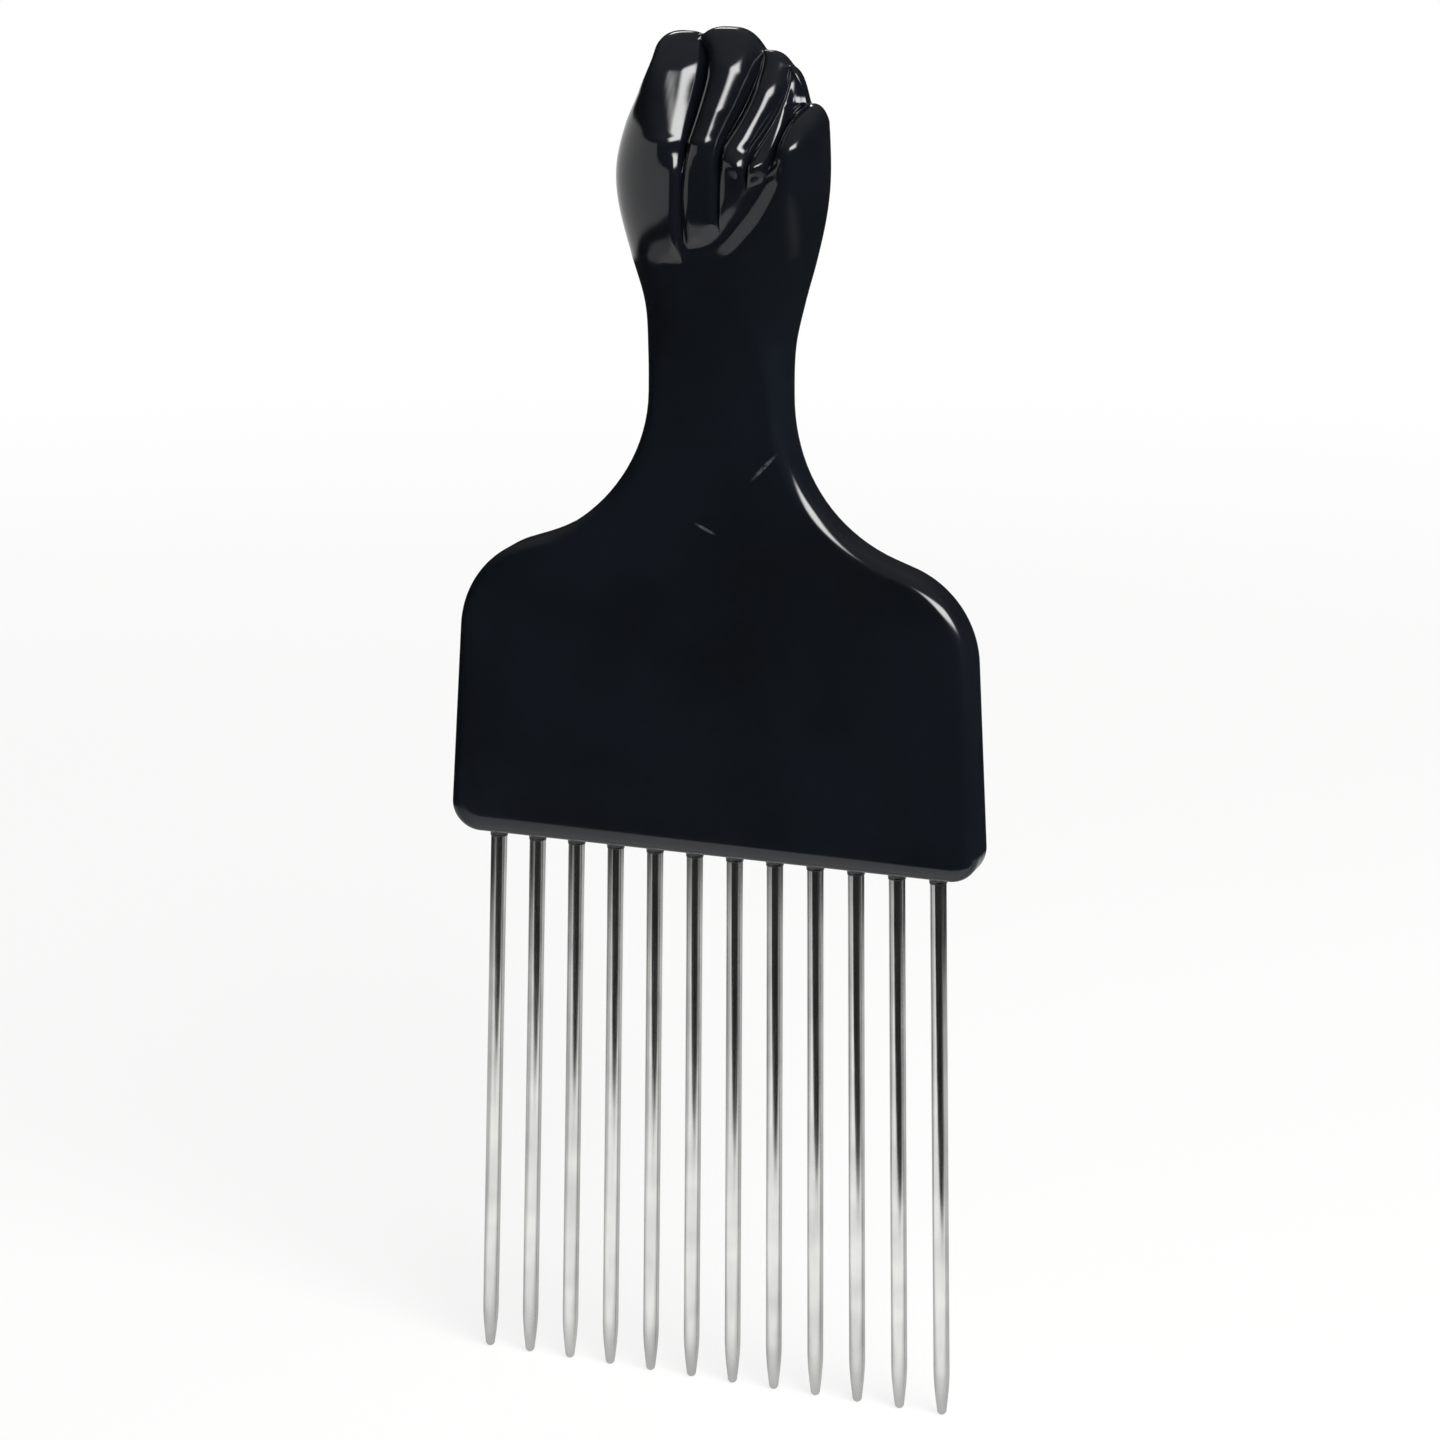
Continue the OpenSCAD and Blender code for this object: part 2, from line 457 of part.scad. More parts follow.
// Blind bore that the plastic forms round a shank, open through the collar
module bore(i) {
    at_pin(i)
        rotate_extrude($fn = pin_fn)
            polygon(concat([[0, -collar_h - overrun], [pin_r, -collar_h - overrun]], shank_points()));
}

// Concave collar of plastic round a pin root
module collar(i) {
    reach = min(collar_reach, half_t - edge_in - pin_r);
    at_pin(i)
        rotate_extrude($fn = pin_fn)
            polygon([[0, -collar_h], [pin_r + reach / 4, -collar_h], [pin_r + reach / 2, -collar_h / 3],
                     [pin_r + reach, 0], [pin_r + reach, overrun], [0, overrun]]);
}

// Handle: the moulded skin and its collars, bored for the pins
module handle() {
    color([0.05, 0.055, 0.07])
        difference() {
            union() {
                translate([0, 0, pin_len]) handle_skin();
                for (i = [1:pin_count]) collar(i);
            }
            for (i = [1:pin_count]) bore(i);
        }
}

handle();
for (i = [1:pin_count]) pin(i);
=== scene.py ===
"""Looks of a metal-pin afro pick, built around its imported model.

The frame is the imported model's: metres, X across the blade, +Z from the pin tips up to the knuckles, the palm
side towards -Y, and the origin in the middle of the pin tips. Shapes are worked out in millimetres, heights
from the blade's bottom edge, and turned into the frame when their mesh is made.
"""

import logging
import math
from dataclasses import dataclass
from enum import Enum
from functools import partial
from typing import Callable

import bpy
import numpy as np
from bpy.types import Material, Node, NodeOutputs, NodeSocket, NodeTree, Object, World
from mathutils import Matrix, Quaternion, Vector


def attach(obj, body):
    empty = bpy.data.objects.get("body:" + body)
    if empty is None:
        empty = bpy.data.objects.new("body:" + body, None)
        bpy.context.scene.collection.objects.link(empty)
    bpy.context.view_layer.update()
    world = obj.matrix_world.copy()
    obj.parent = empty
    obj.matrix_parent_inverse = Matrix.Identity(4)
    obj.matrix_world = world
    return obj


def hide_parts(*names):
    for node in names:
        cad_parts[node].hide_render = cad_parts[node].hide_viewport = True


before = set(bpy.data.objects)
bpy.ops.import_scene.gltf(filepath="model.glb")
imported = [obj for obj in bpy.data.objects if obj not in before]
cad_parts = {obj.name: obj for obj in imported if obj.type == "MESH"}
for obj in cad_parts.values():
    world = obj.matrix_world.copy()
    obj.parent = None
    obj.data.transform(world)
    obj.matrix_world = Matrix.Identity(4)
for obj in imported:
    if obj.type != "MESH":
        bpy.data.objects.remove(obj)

log = logging.getLogger("afro_pick")

MM = 0.001
"""One millimetre in the frame's metres."""

BODY = "root"

MOTTLE_ENDS = (0.35, 0.65)
"""Part of a noise's range over which a mottled colour changes."""

NOISE_ENDS = (0.3, 0.7)
"""Range that a noise seldom leaves."""

SMOOTH = {"interpolation_type": "SMOOTHSTEP"}
TEXTURE = {"vector_type": "TEXTURE"}

Pair = tuple[float, float]
Triple = tuple[float, float, float]
Values = float | np.ndarray
Table = tuple[Pair, ...]
Source = NodeSocket | Node | float
Adder = Callable[..., Node]


class Side(Enum):
    """The two faces of the handle, with the direction in which each faces."""

    PALM = -1
    BACK = 1


class Slot(Enum):
    """The record's material slots."""

    PLASTIC = "handle_plastic"
    STEEL = "pin_steel"


def smooth(t: Values) -> Values:
    """Smooth step from 0 to 1: three t squared less two t cubed."""
    c = np.clip(t, 0, 1)
    return c * c * (3 - 2 * c)


def round_in(u: Values) -> Values:
    """Quarter-circle profile: 0 at an edge, 1 from one radius inwards."""
    c = np.clip(u, 0, 1)
    return np.sqrt(1 - (1 - c) ** 2)


def grown(v: Values, blend: Pair) -> Values:
    """Growth from 0 to 1 over a stretch, given as its start and its length."""
    return smooth((v - blend[0]) / blend[1])


def blended_max(a: Values, b: Values, k: float) -> Values:
    """Larger of two values, lifted by a parabola where they come within k of each other."""
    gap = np.maximum(k - np.abs(a - b), 0)
    return np.maximum(a, b) + gap * gap / (4 * k)


def mix(a: Values, b: Values, t: Values) -> Values:
    """Value between a and b at share t."""
    return a + (b - a) * t


def curve(table: Table, p: Values) -> np.ndarray:
    """Smooth curve through a table of (place, value), cubic with central slopes and level at both ends.

    Args:
        table: Places and values, the places rising.
        p: Where to read the curve; past an end it keeps the end's value.

    Returns:
        The curve's value at each p.
    """
    x, y = np.asarray(table, float).T
    slope = np.zeros_like(x)
    slope[1:-1] = (y[2:] - y[:-2]) / (x[2:] - x[:-2])
    p = np.clip(p, x[0], x[-1])
    i = np.clip(np.searchsorted(x, p, side="right") - 1, 0, len(x) - 2)
    h = x[i + 1] - x[i]
    u = (p - x[i]) / h
    v = 1 - u
    left = y[i] * (1 + 2 * u) * v * v + slope[i] * h * u * v * v
    return left + y[i + 1] * (1 + 2 * v) * u * u - slope[i + 1] * h * u * u * v


@dataclass
class Outline:
    """Front outline of the handle: blade, shoulders, neck and fist, in millimetres."""

    blade_w: float = 66
    side_draft: float = 3.5
    shoulder_h: float = 33.5
    shoulder_slope: float = 19.5
    shoulder_r: float = 12
    corner_r: float = 3.5
    neck_w: float = 16.8
    neck_r: float = 19.3
    fist_h: float = 41.7
    fist_w: float = 25
    fist_shift: float = 0.5
    arch_fall: float = 0.9
    blend_share: float = 0.07
    outer_end_share: float = -0.64
    thumb_end_share: float = 1.0

    # Place of each side up to the top, and place, drop and breadth of each finger's arch
    OUTER_SHARES = ((0, 0), (0.12, 0.04), (0.25, 0.16), (0.38, 0.545), (0.5, 0.87), (0.58, 0.975),
                    (0.65, 0.92), (0.74, 0.66), (0.83, 0.26))
    THUMB_SIDE_SHARES = ((0, 0), (0.14, 0.065), (0.26, 0.33), (0.38, 0.65), (0.5, 0.9), (0.6, 1))
    FINGER_SHARES = ((-0.37, 0.015, 0.33), (0.045, 0, 0.39), (0.41, 0.058, 0.26), (0.575, 0.095, 0.18),
                     (0.81, 0.194, 0.2))

    def __post_init__(self) -> None:
        """Works out the tangent points of side line, shoulder, shoulder line and neck curve."""
        self.draft = math.radians(self.side_draft)
        self.line_lean = math.radians(90 - self.shoulder_slope)
        self.half_w = self.blade_w / 2
        self.neck_half = self.neck_w / 2
        self.fist_half = self.fist_w / 2
        self.meet_x = self.half_w - math.tan(self.draft) * self.shoulder_h
        side_n = -np.array([math.cos(self.draft), math.sin(self.draft)])
        line_n = -np.array([math.cos(self.line_lean), math.sin(self.line_lean)])
        inward = (side_n + line_n) / (1 + side_n @ line_n)
        self.arc_x, self.arc_z = (self.meet_x, self.shoulder_h) + self.shoulder_r * inward
        self.neck_cx = self.neck_half + self.neck_r
        self.neck_z = self.shoulder_h - (self.neck_r + line_n[0] * (self.neck_cx - self.meet_x)) / line_n[1]
        self.corner_top = self.corner_r * (1 + math.sin(self.draft))
        self.corner_x = self.half_w - self.corner_top / math.cos(self.draft)
        self.side_top = self.arc_z + self.shoulder_r * math.sin(self.draft)
        self.shoulder_top = self.arc_z + self.shoulder_r * math.sin(self.line_lean)
        self.line_top = self.neck_z - self.neck_r * math.sin(self.line_lean)
        self.fist_top = self.neck_z + self.fist_h
        self.outer_end = self.fist_shift + self.outer_end_share * self.fist_half
        self.thumb_end = self.fist_shift + self.thumb_end_share * self.fist_half
        self.outer_end_z = float(self.top_z(self.outer_end))
        self.thumb_end_z = float(self.top_z(self.thumb_end))
        self.outer_table = self.OUTER_SHARES + (self.end_knot(self.outer_end, self.outer_end_z),)
        self.thumb_table = self.THUMB_SIDE_SHARES + (self.end_knot(self.thumb_end, self.thumb_end_z),)

    def end_knot(self, x: float, z: float) -> Pair:
        """Last entry of a side table, where the side meets the top."""
        out = abs(x - self.fist_shift) - self.neck_half
        return self.height_share(z), out / (self.fist_half - self.neck_half)

    def height_share(self, z: Values) -> Values:
        """Height over the neck as a share of the fist's height."""
        return (z - self.neck_z) / self.fist_h

    def across_share(self, x: Values) -> Values:
        """Place across the fist as a share of half its width, -1 at the little finger's side."""
        return (x - self.fist_shift) / self.fist_half

    def blade_half(self, z: Values) -> Values:
        """Half width of blade and neck: corner arc, side line, shoulder arc, shoulder line, neck arc."""
        z = np.minimum(z, self.neck_z)
        corner = self.corner_x + np.sqrt(np.maximum(self.corner_r**2 - (self.corner_r - z) ** 2, 0))
        side = self.half_w - math.tan(self.draft) * z
        arc = self.arc_x + np.sqrt(np.maximum(self.shoulder_r**2 - (z - self.arc_z) ** 2, 0))
        line = self.meet_x - (z - self.shoulder_h) * math.tan(self.line_lean)
        neck = self.neck_cx - np.sqrt(np.maximum(self.neck_r**2 - (self.neck_z - z) ** 2, 0))
        tops = [z < self.corner_top, z < self.side_top, z < self.shoulder_top, z < self.line_top]
        return np.select(tops, [corner, side, arc, line], neck)

    def side_lean(self, z: Values) -> Values:
        """Lean of the side outline from the vertical, in radians."""
        z = np.asarray(z, float)
        arc = np.arcsin(np.clip((z - self.arc_z) / self.shoulder_r, -1, 1))
        neck = np.arcsin(np.clip((self.neck_z - z) / self.neck_r, 0, 1))
        tops = [z < self.side_top, z < self.shoulder_top, z < self.line_top]
        return np.select(tops, [self.draft, arc, self.line_lean], neck)

    def top_z(self, x: Values) -> Values:
        """Top outline of the fist: cubic arches over four fingers and the thumb, blended where they meet."""
        top = None
        for across, drop, breadth in self.FINGER_SHARES:
            r = breadth * self.fist_half
            off = np.abs(x - self.fist_shift - across * self.fist_half) / r
            arch = self.fist_top - drop * self.fist_h - self.arch_fall * r * off**3
            top = arch if top is None else blended_max(arch, top, self.blend_share * self.fist_half)
        return top

    def side_half(self, z: Values, table: Table) -> Values:
        """Half width at a height, from the middle line of neck and fist."""
        hand = mix(self.neck_half, self.fist_half, curve(table, self.height_share(z)))
        return np.where(z < self.neck_z, self.blade_half(z), hand)

    def axis_x(self, z: Values) -> Values:
        """Middle line, which moves sideways from the blade to the fist."""
        return self.fist_shift * self.neck_share(z)

    def outer_x(self, z: Values) -> Values:
        """Outline on the little finger's side."""
        return self.axis_x(z) - self.side_half(z, self.outer_table)

    def thumb_x(self, z: Values) -> Values:
        """Outline on the thumb's side."""
        return self.axis_x(z) + self.side_half(z, self.thumb_table)

    def neck_share(self, z: Values) -> Values:
        """Change of the section from the flat blade, 0, to the neck, 1."""
        return smooth((z - self.line_top) / (self.neck_z - self.line_top))


@dataclass
class Creases:
    """Lines between the fingers of the closed hand, which the skin's columns follow down to the blade.

    Each table gives height share and place share. The fold is the stretch of the thumb's crease that turns
    across the fingers' ends, so that the columns leave it. Both end alike.
    """

    outline: Outline

    FIRST = ((0, -0.26), (0.2, -0.24), (0.38, -0.22), (0.49, -0.21), (0.6, -0.2), (0.7, -0.175), (0.8, -0.13),
             (0.88, -0.1), (0.93, -0.12), (0.955, -0.18), (0.965, -0.2))
    SECOND = ((0, 0.16), (0.3, 0.13), (0.5, 0.14), (0.62, 0.15), (0.7, 0.165), (0.75, 0.225), (0.8, 0.29),
              (0.86, 0.35), (0.91, 0.38), (0.94, 0.385))
    THIRD = ((0, 0.38), (0.4, 0.38), (0.6, 0.415), (0.68, 0.44), (0.72, 0.5), (0.76, 0.56), (0.8, 0.61),
             (0.85, 0.645), (0.89, 0.64))
    THUMB_END = ((0.635, 0.6), (0.69, 0.63), (0.746, 0.665), (0.78, 0.7), (0.8, 0.75), (0.806, 0.805))
    THUMB = ((0, 0.5), (0.3, 0.54), (0.5, 0.535), (0.58, 0.545)) + THUMB_END
    FOLD = ((0.385, -0.2), (0.41, 0), (0.45, 0.15), (0.495, 0.27), (0.533, 0.38), (0.59, 0.53)) + THUMB_END

    def line_x(self, table: Table, z: Values) -> Values:
        """Place across of a line at a height: a crease in the hand, an even share of the width below it."""
        o = self.outline
        in_hand = o.fist_half * curve(table, o.height_share(z))
        spread = np.where(z < o.neck_z, o.blade_half(z) / o.neck_half, 1)
        return o.axis_x(z) + in_hand * spread

    def lines(self, z: Values) -> list[Values]:
        """The four lines and the two sides of the outline, from the little finger's side to the thumb's."""
        o = self.outline
        inner = [self.line_x(t, z) for t in (self.FIRST, self.SECOND, self.THIRD, self.THUMB)]
        return [o.outer_x(z)] + inner + [o.thumb_x(z)]

    def fold_distance(self, x: Values, z: Values, steps: int = 60) -> Values:
        """Distance from the thumb's fold, below zero on the fingers' side."""
        o = self.outline
        s = np.linspace(self.FOLD[0][0], self.FOLD[-1][0], steps + 1)
        line = np.stack([o.fist_shift + o.fist_half * curve(self.FOLD, s), o.neck_z + o.fist_h * s], -1)
        best = np.full(np.shape(x), np.inf)
        for start, end in zip(line[:-1], line[1:]):
            run = end - start
            t = np.clip(((x - start[0]) * run[0] + (z - start[1]) * run[1]) / (run @ run), 0, 1)
            best = np.minimum(best, np.hypot(x - start[0] - t * run[0], z - start[1] - t * run[1]))
        return best * np.where(o.across_share(x) > curve(self.FOLD, o.height_share(z)), 1, -1)


@dataclass
class HandRelief:
    """Depth of the handle's two faces over its parting plane, in millimetres."""

    outline: Outline
    creases: Creases
    blade_t: float = 6
    edge_r: float = 1.5
    bottom_h: float = 2.3
    neck_t: float = 7
    fist_t: float = 17
    parting_t: float = 0.4
    crease_depth: float = 2.6
    crease_edge: float = 1.1
    fold_edge: float = 2.2
    thumb_edge: float = 3
    knuckle_rise: float = 0.8
    palm_top_share: float = 0.1
    back_top_share: float = 0.3
    row_turn_share: float = 0.36
    bend_share: float = 0.7
    bend_fall_share: float = 0.05
    crest_share: float = 0.44
    dome_share: float = 0.95
    rim_run_share: float = 0.3
    # Floors that keep a finger's half width and its rise from dividing by almost nothing
    least_half: float = 0.01
    least_rise: float = 1

    OUTER_ROUND_SHARES = ((0, 0.22), (0.25, 0.7), (0.4, 0.8), (0.7, 0.8), (0.8, 0.66), (0.88, 0.5), (1, 0.42))
    THUMB_ROUND_SHARES = ((0, 0.22), (0.25, 0.65), (0.4, 0.75), (0.6, 0.48), (0.72, 0.26), (1, 0.26))
    BACK_THUMB_ROUND_SHARES = ((0, 0.22), (0.25, 0.65), (0.4, 0.75), (0.6, 0.75), (0.75, 0.75), (1, 0.75))
    # Where a relief starts and the stretch over which it grows, as shares of the height or of half the width
    HEEL_BLEND = (-0.04, 0.08)
    SIDE_BLEND = (-0.3, 0.35)
    THUMB_BLEND = (0.385, 0.05)
    RIDGE_BLEND = (0.62, 0.08)
    FOLD_BLEND = (0.6, 0.08)
    BEND_FALL_BLEND = (0, 0.6)
    BEND_BLEND = (0.42, 0.2)
    KNUCKLE_BLEND = (0.62, 0.3)

    # Depth of the fingers from their bend, 0, up to their top, 1
    RISE = ((0, 1), (0.05, 0.97), (0.1, 0.9), (0.4, 0.51), (0.7, 0.18), (1, -0.12))
    # Depth below the bend: height share, depth share
    WRIST_RUN = ((0, 0), (0.12, 0.12), (0.24, 0.28), (0.34, 0.39))
    BEND_RUN = ((0.68, 0.98), (0.69, 1), (0.7, 1))
    FINGER_RUN = WRIST_RUN + ((0.378, 0.42), (0.42, 0.49), (0.46, 0.62), (0.5, 0.73), (0.54, 0.78),
                              (0.62, 0.82), (0.65, 0.86)) + BEND_RUN
    HEEL_RUN = WRIST_RUN + ((0.378, 0.42), (0.4, 0.57), (0.44, 0.76), (0.5, 0.86), (0.6, 0.9),
                            (0.65, 0.91)) + BEND_RUN
    SIDE_RUN = ((0, 0), (0.14, 0.14), (0.25, 0.31), (0.38, 0.6), (0.5, 0.84), (0.6, 0.94), (0.7, 0.96),
                (0.8, 0.86), (0.9, 0.68), (1, 0.52))
    THUMB_RUN = WRIST_RUN + ((0.378, 0.43), (0.42, 0.5), (0.5, 0.68), (0.6, 0.87), (0.66, 0.9), (0.7, 0.81),
                             (0.74, 0.63), (0.78, 0.44), (0.82, 0.28))
    CREASE_STRENGTH = ((0.38, 0), (0.43, 0.3), (0.62, 0.34), (0.69, 1), (0.9, 1), (1, 0.7))
    FOLD_STRENGTH = ((0.37, 0), (0.43, 0.25), (0.5, 0.45), (0.62, 0.6), (0.69, 1), (0.9, 1), (1, 0.7))
    BACK_RUN = ((0, 0), (0.25, 0.3), (0.45, 0.68), (0.65, 0.92), (0.8, 1), (1, 0.94))

    def dome_drop(self, w: Values) -> Values:
        """Drop of a rounded form from its crest, 0, to its crease, 1: part of a half ellipse."""
        w = np.minimum(np.abs(w), 1)
        return (1 - np.sqrt(1 - self.dome_share * w * w)) / (1 - math.sqrt(1 - self.dome_share))

    def across(self, x: Values, z: Values) -> tuple[Values, Values]:
        """Place within each finger, -1 and 1 at its creases, and half of its width.

        The little finger and the thumb have a crease on one side only, and stay 0 from their crest outwards.
        """
        lines = self.creases.lines(z)
        places, halves = [], []
        for i, (low, high) in enumerate(zip(lines[:-1], lines[1:])):
            crest = mix(low, high, (self.crest_share, 0.5, 0.5, 0.5, 1 - self.crest_share)[i])
            left, right = np.maximum(crest - low, self.least_half), np.maximum(high - crest, self.least_half)
            w = np.where(x < crest, (x - crest) / left, (x - crest) / right)
            w = np.maximum(w, 0) if i == 0 else np.minimum(w, 0) if i == 4 else w
            places.append(w)
            halves.append(np.where(x < crest, left, right))
        which = [x <= line for line in lines[1:-1]]
        return np.select(which, places[:-1], places[-1]), np.select(which, halves[:-1], halves[-1])

    def palm_depth(self, x: Values, z: Values, top: Values) -> Values:
        """Depth of the palm side before its edges are rounded."""
        o = self.outline
        u, s = o.across_share(x), o.height_share(z)
        fold = self.creases.fold_distance(x, z)
        w, half = self.across(x, z)
        first = o.across_share(self.creases.line_x(self.creases.FIRST, z))
        fall = self.bend_fall_share * grown(u, self.BEND_FALL_BLEND) * grown(s, self.BEND_BLEND)
        bend = o.neck_z + (self.bend_share - fall) * o.fist_h
        rise = (z - bend) / np.maximum(top - bend, self.least_rise)
        heel = grown(u - first, self.HEEL_BLEND)
        low = mix(curve(self.HEEL_RUN, s), curve(self.FINGER_RUN, s + fall), heel)
        run = np.where(z < bend, low, curve(self.RISE, rise))
        run = mix(run, curve(self.SIDE_RUN, s), smooth((self.SIDE_BLEND[0] - u) / self.SIDE_BLEND[1]))
        thumb = smooth(fold / self.fold_edge + 0.5) * grown(s, self.THUMB_BLEND)
        run = mix(run, curve(self.THUMB_RUN, s), thumb)
        swell = np.clip(half / self.crease_depth, 0, 1)
        ridge = 1 - swell * (1 - self.dome_drop(w))
        flat = self.dome_drop(np.maximum(1 - (1 - np.abs(w)) * half / self.crease_edge, 0))
        drop = mix(flat, ridge, grown(s, self.RIDGE_BLEND))
        near = np.maximum(1 - np.abs(fold) / np.where(fold > 0, self.thumb_edge, self.fold_edge), 0)
        groove = mix(smooth(near), self.dome_drop(near), grown(s, self.FOLD_BLEND))
        groove = groove * curve(self.FOLD_STRENGTH, s)
        drop = drop * curve(self.CREASE_STRENGTH, s)
        drop = np.where(fold > 0, groove, np.maximum(drop, groove))
        return mix(self.neck_t, self.fist_t, run) / 2 - self.crease_depth * drop

    def back_depth(self, x: Values, z: Values) -> Values:
        """Depth of the back of the hand before its edges are rounded: level waves between the knuckles."""
        s = self.outline.height_share(z)
        w, half = self.across(x, z)
        swell = np.clip(half / self.crease_depth, 0, 1)
        wave = 1 - swell * (1 + np.cos(math.pi * w)) / 2
        rise = self.knuckle_rise * wave * grown(s, self.KNUCKLE_BLEND)
        return mix(self.neck_t, self.fist_t, curve(self.BACK_RUN, s)) / 2 - rise

    def side_round(self, z: Values, table: Table) -> Values:
        """Breadth of the rounded side, measured across."""
        o = self.outline
        blade = self.edge_r / np.cos(o.side_lean(z))
        hand = curve(table, o.height_share(z)) * (o.thumb_x(z) - o.outer_x(z)) / 2
        return mix(blade, hand, o.neck_share(z))

    def rim_half(self, z: Values) -> Values:
        """Half thickness of the wall round the outline, which narrows to the parting line over the wrist."""
        o = self.outline
        share = smooth((z - o.line_top) / (o.neck_z + self.rim_run_share * o.fist_h - o.line_top))
        return mix(self.blade_t / 2 - self.edge_r, self.parting_t / 2, share)

    def edge_share(self, x: Values, z: Values, top: Values, side: Side) -> Values:
        """Share of the full depth that the rounded edges leave: one quarter circle from each edge inwards."""
        o = self.outline
        off = np.hypot(np.abs(x) - o.corner_x, o.corner_r - z)
        down = (o.corner_r - z) / np.maximum(off, self.parting_t)
        corner = (o.corner_r - off) / mix(self.edge_r, self.bottom_h, down * down)
        side_in = (o.blade_half(z) - np.abs(x)) * np.cos(o.side_lean(z))
        plain = np.minimum(z / self.bottom_h, side_in / self.edge_r)
        blade = round_in(np.where((z < o.corner_r) & (np.abs(x) > o.corner_x), corner, plain))
        outer = (x - o.outer_x(z)) / self.side_round(z, self.OUTER_ROUND_SHARES)
        palm = side is Side.PALM
        thumb = self.THUMB_ROUND_SHARES if palm else self.BACK_THUMB_ROUND_SHARES
        flank = round_in(np.minimum(outer, (o.thumb_x(z) - x) / self.side_round(z, thumb)))
        over = round_in((top - z) / ((self.palm_top_share if palm else self.back_top_share) * o.fist_h))
        return np.where(z < o.shoulder_top, blade, flank * over)

    def skin_y(self, x: Values, z: Values, top: Values, side: Side) -> Values:
        """Place of the skin front to back: the rim, and the relief where the rounding lets it stand."""
        o = self.outline
        depth = self.palm_depth(x, z, top) if side is Side.PALM else self.back_depth(x, z)
        relief = mix(self.blade_t / 2, depth, o.neck_share(z))
        return side.value * mix(self.rim_half(z), relief, self.edge_share(x, z, top, side))


@dataclass
class Handle:
    """The moulded handle: blade, neck and fist as one skin."""

    outline: Outline
    creases: Creases
    relief: HandRelief
    pin_len: float = 68
    side_steps: int = 16
    zone_steps: tuple[int, ...] = (22, 34, 26, 16, 24)
    edge_steps: int = 16
    corner_steps: int = 4
    blade_steps: int = 12
    shoulder_steps: int = 24
    neck_steps: int = 20
    wrist_steps: int = 30
    hand_steps: int = 150
    crowding: float = 0.8
    side_easing: float = 0.6
    ramp_share: float = 0.7
    row_power: float = 1.6
    groove_half: float = 0.1
    groove_in: float = 0.06
    groove_edge: float = 0.16

    def across(self, lines: list[float], rounding: float) -> np.ndarray:
        """Places across a row: columns between each pair of lines, crowded at creases and rounded sides.

        Args:
            lines: The row's places of the outline's sides and the four creases.
            rounding: Breadth of the rounded sides.

        Returns:
            One place for each column, in millimetres.
        """
        parts = []
        ramp = 1 - np.cos(np.linspace(0, math.pi / 2, self.side_steps, endpoint=False))
        for i, (low, high) in enumerate(zip(lines[:-1], lines[1:])):
            t = np.linspace(0, 1, self.zone_steps[i] + 1)
            k = t - self.crowding * np.sin(2 * math.pi * t) / (2 * math.pi)
            edge = min(rounding, self.ramp_share * (high - low))
            if i == 0:
                ease = np.sin(math.pi / 2 * t)
                parts += [low + edge * ramp, mix(low + edge, high, mix(t, ease, self.side_easing))[:-1]]
            elif i == len(lines) - 2:
                ease = 1 - np.sin(math.pi / 2 * t[::-1])
                parts += [mix(low, high - edge, mix(t, ease, self.side_easing)), (high - edge * ramp)[::-1]]
            else:
                parts.append(mix(low, high, k)[:-1])
        return np.concatenate(parts)

    def rows(self) -> np.ndarray:
        """Grid of points over the outline, as x, z and the top of each point's column.

        Straight rows up to the wrist, then rows that bend, until the last one is the top outline.
        """
        o, r = self.outline, self.relief
        turn = mix(o.neck_z, o.fist_top, r.row_turn_share)
        run = partial(np.linspace, endpoint=False)
        levels = np.concatenate([
            r.bottom_h * (1 - np.cos(run(0, math.pi / 2, self.edge_steps))),
            run(r.bottom_h, o.corner_top, self.corner_steps),
            run(o.corner_top, o.side_top, self.blade_steps),
            o.arc_z + o.shoulder_r * np.sin(run(o.draft, o.line_lean, self.shoulder_steps)),
            o.neck_z - o.neck_r * np.sin(o.line_lean * run(1, 0, self.neck_steps)),
            run(o.neck_z, turn, self.wrist_steps),
        ])
        tables = (self.creases.FIRST, self.creases.SECOND, self.creases.THIRD, self.creases.THUMB)
        creases = [float(o.fist_shift + o.fist_half * table[-1][1]) for table in tables]
        ends = [o.outer_end, *creases, o.thumb_end]
        tops = [float(o.top_z(x)) for x in ends]
        top = o.top_z(self.across(ends, float(r.side_round(tops[0], r.OUTER_ROUND_SHARES))))
        shares = 1 - np.linspace(1, 0, self.hand_steps + 1) ** self.row_power
        places = [([z] * len(tops), np.full_like(top, z)) for z in levels]
        places += [([mix(turn, end, t) for end in tops], mix(turn, top, t)) for t in shares]
        rows = []
        for heights, z in places:
            lines = [float(self.creases.lines(h)[i]) for i, h in enumerate(heights)]
            x = self.across(lines, float(r.side_round(heights[0], r.OUTER_ROUND_SHARES)))
            rows.append(np.stack([x, z, top], -1))
        return np.array(rows)

    def rim(self, ring: np.ndarray) -> list[np.ndarray]:
        """Rows of points round the flat wall, with the fine groove of the parting line in its middle.

        Args:
            ring: The outline's points, x and z, in order and without a gap.

        Returns:
            One array of points for each row, from the palm side to the back.
        """
        run = np.roll(ring, -1, axis=0) - np.roll(ring, 1, axis=0)
        inward = np.stack([-run[:, 1], run[:, 0]], -1) / np.linalg.norm(run, axis=1)[:, None]
        rows = []
        edge, half = self.groove_edge, self.groove_half
        for y, depth in ((-edge, 0), (-half, 0), (0, self.groove_in), (half, 0), (edge, 0)):
            moved = ring + inward * depth
            rows.append(np.stack([moved[:, 0], np.full(len(ring), y), moved[:, 1] + self.pin_len], -1))
        return rows

